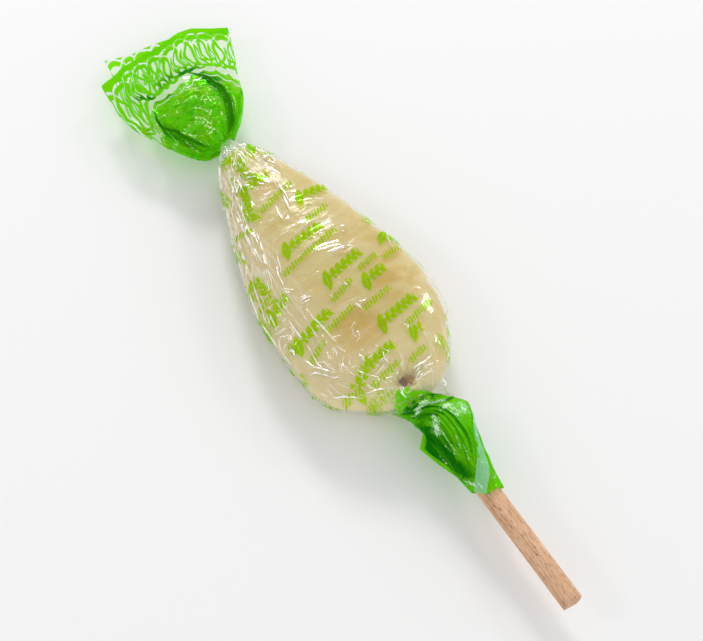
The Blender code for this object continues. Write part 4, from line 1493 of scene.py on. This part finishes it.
def fan_print_map(grid, share, turn):
    """The lace's place at every corner of every face: u along the cut edge and v away from it, both
    made a little uneven. The border narrows towards both sides of the fan. On the back sheet it is
    shifted by 6 mm, and bare between the part that shows past the front sheet and the solid ink."""
    away = FAN_LENGTH * (1 - share)
    behind = np.sin(turn) < 0
    to_right = np.cos(turn)
    u = 1.12 * run_along(grid[-1])[None, :] + 0.35 * waves(grid, 5.0, 46) + 6.0 * behind
    scale = 1.08 - 0.44 * ramp(-to_right, 0.45, 0.9) - 0.26 * ramp(to_right, 0.5, 1.0)
    v = away * scale + 1.1 * behind * ramp(-to_right, -0.35, 0.05)
    v = v + 0.30 * waves(grid, 6.5, 47) * ramp(away, 1.5, 5.0)
    print_map = four_corners(np.stack([u, v], axis=-1), flip=True)
    past_shown = v - (6.9 - 5.3 * ramp(to_right, -0.2, 0.25))
    facts = four_corners(np.stack([1.0 * behind, past_shown], axis=-1), flip=True).mean(1)
    bare = (facts > 0).all(1) & (print_map[..., 1].mean(1) < SOLID_FROM)
    print_map[bare, :, 1] = BARE_GAP
    return print_map


def make_fan(material):
    """Both sheets of the fan in one piece, from the free edge of the front sheet at the left, round
    the fold at the right, to the free edge of the back sheet. Flutes run up out of the neck, pleats of
    17 and 38 to a turn, and the bunched middle is crumpled at three sizes."""
    share = (np.linspace(0, 1, 220) ** 1.15)[:, None]
    spread = np.linspace(0, 1, 340)[None, :]
    end = -math.pi * (1 - 0.25 * ramp(share, 0.15, 1.0))
    turn = math.pi + (end - math.pi) * spread
    grid = fan_point(share, turn)
    normal = -normals_of(grid, False)
    share = share + 0 * turn
    x, y = grid[..., 0], grid[..., 1]
    front = ramp(np.sin(turn), 0.0, 0.3)
    loose = 1 - share
    flutes = 0.32 * pleated(turn * 8.5 + 0.5 * waves(grid, 12, 41))
    flutes = flutes + 0.16 * pleated(turn * 19 + 0.9 * waves(grid, 9, 42))
    bunch = np.exp(-(away_from(DOME_AT, BUNCH_SIZE, x, y) ** 1.7)) * front
    push = loose**1.5 * flutes * (1 - 0.8 * bunch)
    push = push + (0.02 + 0.26 * bunch) * crumple(grid, 3.0, 43, (2.2, 1, 1))
    push = push + 0.24 * bunch * crumple(grid, 1.5, 44, (2.0, 1, 1))
    push = push + 0.10 * bunch * crumple(grid, 0.8, 49, (2.0, 1, 1))
    push = push + 0.07 * waves(grid, 11, 45) * ramp(share, 0.4, 0.9)
    grid = grid + normal * (push * ramp(share, 0.0, 0.06))[..., None]
    keep_above_table(grid, 0.2)
    # Darker ink for layers and painted shade: a little over the front sheet, more along FAN_SHADES.
    deep = 0.12 * front
    for line, reach, shading in FAN_SHADES:
        deep += front * shading * stroke(x, y, smooth_line(line), reach)
    # Painted glints: faint over the dome and towards the cut edge, strong along the glint lines.
    scuff = 0.16 * bunch * (1 + 0.2 * waves(grid, 4, 48)) + 0.18 * loose**2
    for line, width in FAN_GLINTS + tuple(dome_glints(np.random.default_rng(9), 76)):
        scuff += front * 0.62 * stroke(x, y, smooth_line(line, 14), width)
    build("film_fan", grid, grid_faces(grid, flip=True), material,
          print_map=fan_print_map(grid, share, turn), deep=deep, scuff=scuff)


def ribbon(line, widths, heights, layers, seed):
    """A flattened tuck of film along a line: its section goes out and back once for each pair of
    layers, and stands in five lengthwise pleats, each 0.12 mm high. Its marks paint shade, darkest in
    the middle of the tuck, and a glint along one side. Returns its points and marks."""
    count = 120
    track = smooth_line(line, count)
    heading = unit(np.gradient(track, axis=0))
    aside = unit(np.stack([heading[:, 1], -heading[:, 0], 0 * heading[:, 0]], axis=1))
    share = np.linspace(0, 1, count)[:, None]
    width = np.interp(share, np.linspace(0, 1, len(widths)), widths)
    height = np.interp(share, np.linspace(0, 1, len(heights)), heights)
    across = np.linspace(0, layers, 36 * layers + 1)[None, :]
    zigzag = np.abs(np.mod(across + 1, 2) - 1) * 2 - 1
    points = track[:, None, :] + aside[:, None, :] * (width * zigzag / 2)[..., None]
    pleats = pleated(2.5 * math.pi * zigzag + 0.30 * run_along(line)[-1] * share)
    points[..., 2] += height * (0.25 + 0.5 * (1 - zigzag**2) + 0.3 * across / layers) + 0.06 * pleats
    points[..., 2] += 0.08 * waves(points, 3.0, seed)
    points[..., 0] += 0.12 * waves(points, 4.0, seed + 1)
    ends = fading(share, 4)
    # Painted shade, darkest in the middle of the tuck, where it also lies three layers thick.
    deep = (1.0 - 0.7 * ramp(np.abs(zigzag), 0.6, 1.0)) * ramp(ends, 0.1, 0.7)
    deep = deep * np.clip(0.75 + 0.3 * pleats, 0, 1)
    # A painted glint along one side of the tuck.
    scuff = 0.9 * np.exp(-(((zigzag + 0.55) / 0.10) ** 2)) * ramp(ends, 0.3, 0.9)
    scuff = scuff * np.clip(0.7 + 0.4 * waves(points, 1.6, seed + 2), 0, 1)
    return points, {"deep": deep, "scuff": scuff}


# The tucks at both sides of the dome, dark with three layers of film and painted shade: name, places
# along it, widths along it, seed.
FAN_TUCKS = (
    ("film_fan_tuck_right", (
        (1.6, 80.0, 2.15), (3.4, 77.6, 2.35), (4.8, 74.9, 2.4), (5.3, 71.4, 2.4), (4.9, 68.3, 2.3),
        (3.7, 65.7, 2.15), (1.5, 63.5, 2.0), (-0.6, 62.1, 1.6),
    ), (0.2, 0.7, 1.1, 1.2, 1.0, 0.5), 51),
    ("film_fan_tuck_left", (
        (-8.5, 75.7, 1.65), (-9.2, 73.3, 1.8), (-8.9, 71.4, 1.95), (-7.6, 68.2, 2.35),
        (-6.0, 65.3, 2.35), (-4.6, 63.0, 2.05), (-3.0, 61.5, 1.6),
    ), (0.2, 0.6, 0.9, 1.0, 0.8, 0.4), 61),
)


def make_fan_tucks(material):
    """The two tucks round the bunched middle of the fan, three layers of film, darkened with painted
    shade and with a painted glint.
    """
    for name, line, widths, seed in FAN_TUCKS:
        points, marks = ribbon(line, widths, (0.2, 0.5, 0.6, 0.5, 0.3), 3, seed)
        build(name, points, grid_faces(points, flip=True), material, **marks)


def make_neck(material):
    """The twisted neck: a rope of clear film with seven lobes that wind half a radian round it for each
    millimetre, thinnest at its waist."""
    waist = 61.2
    y = np.linspace(57.0, 63.4, 60)[:, None]
    turn = round_turn(120)
    middle = 1 - ((y - waist) / 5.5) ** 2
    lobes = 1 - np.abs(np.sin(3.5 * (turn + 0.5 * (y - 60)))) * 0.5
    radius = (1.45 + 0.10 * np.abs(y - waist) ** 1.3) * (0.72 + 0.38 * lobes) * (0.85 + 0.15 * middle)
    x = radius * np.cos(turn) * 0.95 - 0.1
    z = radius * np.sin(turn) * 0.9
    grid = np.stack([x, y + 0 * turn, z], axis=-1)
    grid[..., 0] += 0.08 * waves(grid, 1.6, 71)
    build("film_neck", grid, grid_faces(grid, closed=True), material)


# Folds of the collar, where an upper layer ends at the left of each line and paints shade at its
# foot: line, width, height, and how dark the shade is.
COLLAR_LAPS = (
    (((-6.0, -3.7), (-3.0, -4.5), (0.0, -5.2), (2.5, -6.5), (4.2, -7.2)), 0.5, 0.22, 0.5),
    (((-4.6, -5.1), (-3.3, -5.8), (-1.9, -6.1), (1.0, -7.4), (4.0, -8.1), (5.6, -8.0)), 0.55, 0.5, 0.9),
    (((-4.0, -6.0), (-1.9, -6.8), (0.2, -7.9), (1.6, -9.6), (2.3, -12.0), (2.3, -14.6), (1.8, -17.2),
      (0.2, -20.4)), 0.8, 0.36, 0.8),
    (((-4.0, -6.9), (-1.6, -7.5), (0.1, -8.8), (1.1, -10.6), (1.3, -13.4), (0.9, -16.4), (-0.4, -19.6),
      (-1.7, -23.0)), 0.45, 0.3, 0.4),
    (((-3.9, -7.7), (-1.7, -8.3), (-0.4, -9.5), (0.3, -11.3), (0.4, -13.6), (0.0, -16.3),
      (-1.2, -19.4)), 0.4, 0.2, 0.3),
    (((-3.8, -8.6), (-1.9, -9.2), (-1.0, -10.5), (-0.5, -12.3), (-0.6, -14.6), (-1.3, -17.6)),
      0.4, 0.22, 0.5),
    (((-3.7, -9.4), (-2.5, -10.2), (-1.7, -12.2), (-1.5, -14.6), (-1.8, -17.2), (-2.4, -20.0)),
      0.35, 0.24, 1.0),
    (((-3.5, -10.2), (-2.8, -11.6), (-2.3, -14.2), (-2.4, -17.5), (-2.6, -21.4)), 0.35, 0.24, 1.0),
    (((3.7, -13.0), (3.3, -16.0), (2.1, -19.0), (0.4, -21.8)), 0.5, 0.12, 0.2),
)
# How much shorter the collar is cut than COLLAR_END, in millimetres, by the angle round the stick.
COLLAR_TRIM = (
    (0.0, -0.6), (1.9, -0.5), (2.1, -0.5), (2.5, 0.9), (2.8, 1.8), (3.6, 2.2), (4.7, 1.6), (5.6, 0.0),
    (TURN, -0.6),
)
# Broad painted shade on the collar, where it also lies many layers thick: line, reach, and how dark.
COLLAR_SHADES = (
    (((-3.5, -7.4), (-3.1, -10.8), (-2.5, -14.4), (-2.4, -18.1), (-2.4, -20.9), (-2.2, -23.7)),
      0.45, 0.95),
    (((-3.1, -7.5), (-1.2, -8.9), (0.3, -10.1)), 0.35, 0.7),
    (((-2.0, -18.6), (-1.7, -20.8), (-1.5, -22.8)), 0.7, 0.7),
    (((-4.4, -4.4), (-3.6, -5.2), (-3.2, -6.4)), 0.6, 0.7),
)
# Lines of painted glint on the collar: line, width.
COLLAR_GLINTS = (
    (((-1.0, -11.9), (-1.2, -14.6), (-1.2, -18.0)), 0.09),
    (((0.7, -13.7), (-0.1, -16.5), (-1.1, -19.1)), 0.09),
    (((0.8, -16.0), (0.3, -17.9), (-0.5, -20.2)), 0.07),
    (((-2.1, -14.7), (-1.7, -16.9), (-1.0, -18.1)), 0.08),
    (((-3.1, -6.3), (-1.2, -6.7), (1.0, -7.5), (3.6, -8.2)), 0.22),
    (((-2.6, -4.2), (-1.7, -4.5), (0.2, -5.0)), 0.12),
    (((-1.4, -23.4), (-1.2, -24.6), (-1.5, -25.2)), 0.12),
)
# Crinkled patches of the collar, which also carry painted glints: x and y, and the half sizes across
# and along.
COLLAR_CRINKLES_AND_GLINTS = (
    ((-1.0, -10.6), (0.78, 1.3)), ((-1.7, -12.2), (0.585, 1.17)), ((3.1, -11.2), (1.17, 1.56)),
    ((5.2, -10.9), (0.91, 1.56)), ((2.2, -9.1), (1.56, 0.78)), ((-2.4, -7.1), (1.04, 0.52)),
    ((-0.4, -6.3), (1.56, 0.52)), ((-1.6, -3.9), (1.69, 0.91)), ((-2.2, -24.0), (0.65, 1.17)),
)


def make_collar(material):
    """The film gathered round the stick: outline sections with the lapped pleats of gathered(), raised
    outwards by the named laps and by crinkled patches of fine ridges."""
    fine_from = -11
    y = np.concatenate([
        np.linspace(COLLAR_END, fine_from, 96)[:-1],
        np.linspace(fine_from, BAG_START, 110),
    ])[:, None]
    turn, swell = gathered(round_turn(470), y)
    grid = section(FILM_OUTLINE, y, turn, 2.0)
    grid[..., ::2] *= 1 + swell[..., None]
    outward = unit(np.stack([np.cos(turn), 0 * turn, np.sin(turn) / 0.8], axis=-1))
    x, along, z = grid[..., 0], grid[..., 1], grid[..., 2]
    front = ramp(z, -0.6, 0.8)
    push = np.zeros(x.shape)
    # Darker ink for layers and painted shade: on the underside, a left band, creases, a random mottle.
    deep = 0.02 + 0.25 * blob(x, along, (-3.0, -15.5), (0.9, 5.0)) + 0.25 * (1 - front)
    deep += 0.8 * blob(x, along, (-1.5, -5.0), (4.5, 1.8)) * np.clip(waves(grid, 1.8, 85), 0, 1)
    deep += 0.7 * front * ramp(crumple(grid, 2.2, 86, (1, 5, 1)), 0.86, 0.97) * ramp(-x, -3.6, -2.0)
    # Each lap raises the film and paints shade at its foot.
    for line, width, height, shading in COLLAR_LAPS:
        smooth = smooth_line(line)
        push += front * lap(x, along, smooth, width, height)
        deep += front * shade_of(x, along, smooth, 0.24, 1.5 * shading)
    for line, reach, shading in COLLAR_SHADES:
        deep += front * shading * stroke(x, along, smooth_line(line), reach, 8)
    # Painted glints along the glint lines and in the crinkled patches.
    scuff = np.zeros(x.shape)
    for line, width in COLLAR_GLINTS:
        scuff += front * 0.95 * stroke(x, along, smooth_line(line), width)
    for at, size in COLLAR_CRINKLES_AND_GLINTS:
        hill = front * blob(x, along, at, size)
        push += 0.11 * hill * crumple(grid, 0.9, 84)
        scuff += 0.86 * hill
    push += 0.03 * crumple(grid, 2.0, 82, (1, 3, 1))
    push *= ramp(-y, -BAG_START, -BAG_START + 0.6) * 0.999 + 0.001
    grid = grid + outward * push[..., None]
    keep = np.maximum(1, (STICK_RADIUS + 0.12) / np.hypot(grid[..., 0], grid[..., 2]))
    grid[..., ::2] *= keep[..., None]
    keep_above_table(grid, 0.1)
    trim = np.interp(np.mod(turn, TURN), *np.array(COLLAR_TRIM).T)
    grid[..., 1] += trim * ramp(-y, 17.0, -COLLAR_END)
    build("film_collar", grid, grid_faces(grid, closed=True), material, deep=deep, scuff=scuff)


def make_strip(material):
    """The strip of bare film wound over the collar's right side, from its narrow end under the lobe to
    the cut edge at the stick, pale with its haze and a painted sheen. Its two edges are given as angle
    round the stick and y, and it stands 0.34 mm off the film's outline."""
    left = ((0.265, -11.9), (0.75, -15.9), (1.10, -19.3), (1.70, -22.2), (2.55, -24.8))
    right = ((0.05, -12.1), (0.50, -16.3), (0.70, -19.7), (0.95, -22.9), (2.05, -26.8))
    knots = np.linspace(0, 1, len(left))
    along = np.linspace(0, 1, 90)
    first, second = (smooth_through(np.column_stack([knots, edge]), along) for edge in (left, right))
    across = np.linspace(0, 1, 30)[None, :]
    turn = first[:, :1] * (1 - across) + second[:, :1] * across
    y = first[:, 1:] * (1 - across) + second[:, 1:] * across
    left_side, right_side, half_height = outline_at(FILM_OUTLINE, y)
    lift = 0.34 + 0.04 * np.cos(4 * TURN * across)
    x = (np.where(np.cos(turn) < 0, left_side, right_side) + lift) * np.cos(turn)
    grid = np.stack([x, y, (half_height + lift) * np.sin(turn)], axis=-1)
    grid += 0.05 * waves(grid, 2.5, 97)[..., None]
    build("film_strip", grid, grid_faces(grid), material)


def make_flap(material):
    """The free corner of film beside the collar: a curved sheet from its root to its edge, darker at the
    root, where it lies in several layers and shade is painted, and a single layer at its lip. A painted
    glint runs down its middle."""
    root = ((-1.6, -9.6), (-1.8, -13.5), (-1.9, -16.8), (-2.1, -20.2))
    edge = ((-3.60, -10.4), (-5.65, -12.3), (-4.45, -16.2), (-2.80, -20.4))
    glint = ((-3.1, -12.4), (-3.0, -14.3), (-3.1, -16.3), (-2.9, -18.6))
    knots = (0.0, 0.25, 0.6, 1.0)
    along = np.linspace(0, 1, 80)
    inner = smooth_through(np.column_stack([knots, root]), along)
    outer = np.stack([np.interp(along, knots, column) for column in np.array(edge).T], axis=1)
    along = along[:, None]
    out = np.linspace(0, 1, 50)[None, :]
    flat = inner[:, None, :] * (1 - out[..., None]) + outer[:, None, :] * out[..., None]
    level = -0.4 + 0.6 * out**2 * np.cos(3 * along) - 0.3 * out
    grid = np.dstack([flat, level])
    grid[..., 2] += 0.16 * crumple(grid, 2.0, 91, (1, 4, 1)) + 0.25 * ramp(out, 0.86, 1.0)
    # Darker ink for the layers and painted shade at the root.
    deep = 1 - ramp(out + 0.1 * np.cos(9 * along), 0.60, 0.80)
    # A painted glint down the middle.
    scuff = 0.8 * stroke(grid[..., 0], grid[..., 1], smooth_line(glint), 0.22)
    build("film_flap", grid, grid_faces(grid, flip=True), material, deep=deep, scuff=scuff)


def make_stick(material):
    """The dowel: a circle carried along Y, with three low swells of a hundredth of a millimetre round
    it, a worn edge with a nick at the free end, and flat ends closed to their middles."""
    count = 240
    profile_y = np.concatenate([
        STICK_END + np.array([0, 0, 0, 0.03, 0.10, 0.22]),
        np.linspace(STICK_END + 0.5, STICK_INSIDE - 0.3, count),
        STICK_INSIDE - np.array([0.10, 0, 0, 0]),
    ])
    profile_r = np.concatenate([
        [0.02, 0.9, 1.72, 1.84, 1.93, 1.98],
        np.full(count, STICK_RADIUS),
        [1.95, 1.85, 0.9, 0.02],
    ])
    turn = round_turn(64)
    y, radius = profile_y[:, None], profile_r[:, None]
    wide = radius * (1 + 0.006 * np.cos(3 * turn + 0.05 * y))
    grid = np.stack([wide * np.cos(turn), y + 0 * turn, wide * np.sin(turn)], axis=-1)
    end = ramp(-y, -(STICK_END + 0.6), -STICK_END)
    nick = np.exp(-(((np.mod(turn + 1.2, TURN) - math.pi) / 0.35) ** 2)) * (radius > 0.8)
    grid[..., 1] += 0.28 * end * nick + 0.06 * end * waves(grid, 1.3, 95) * (radius > 0.5)
    build("wooden_stick", grid, grid_faces(grid, closed=True), material, "wood", "stick", sharp=50)


def set_picture():
    """Plain colours, and enough bounces for light to pass through every layer of film."""
    settings = bpy.context.scene.view_settings
    settings.view_transform = "Standard"
    settings.look = "None"
    bpy.context.scene.cycles.transparent_max_bounces = 32


def main():
    set_picture()
    set_camera()
    set_light()
    set_room()
    make_floor()
    make_stick(stick_wood())
    make_sweet(sweet_sugar())
    make_bag(bag_film())
    make_pinches(pinched_film())
    green = solid_film("green_film", 0.0, 0.03, 0.6)
    clear = solid_film("clear_film", 1.0, 0.14)
    make_fan(lace_film())
    make_fan_tucks(green)
    make_neck(clear)
    make_collar(collar_film())
    # The strip's pale teal haze is partly a painted sheen.
    make_strip(solid_film("pale_strip_film", 1.0, 0.24, 0.4, (0.50, 0.86, 0.70)))
    make_flap(green)


main()
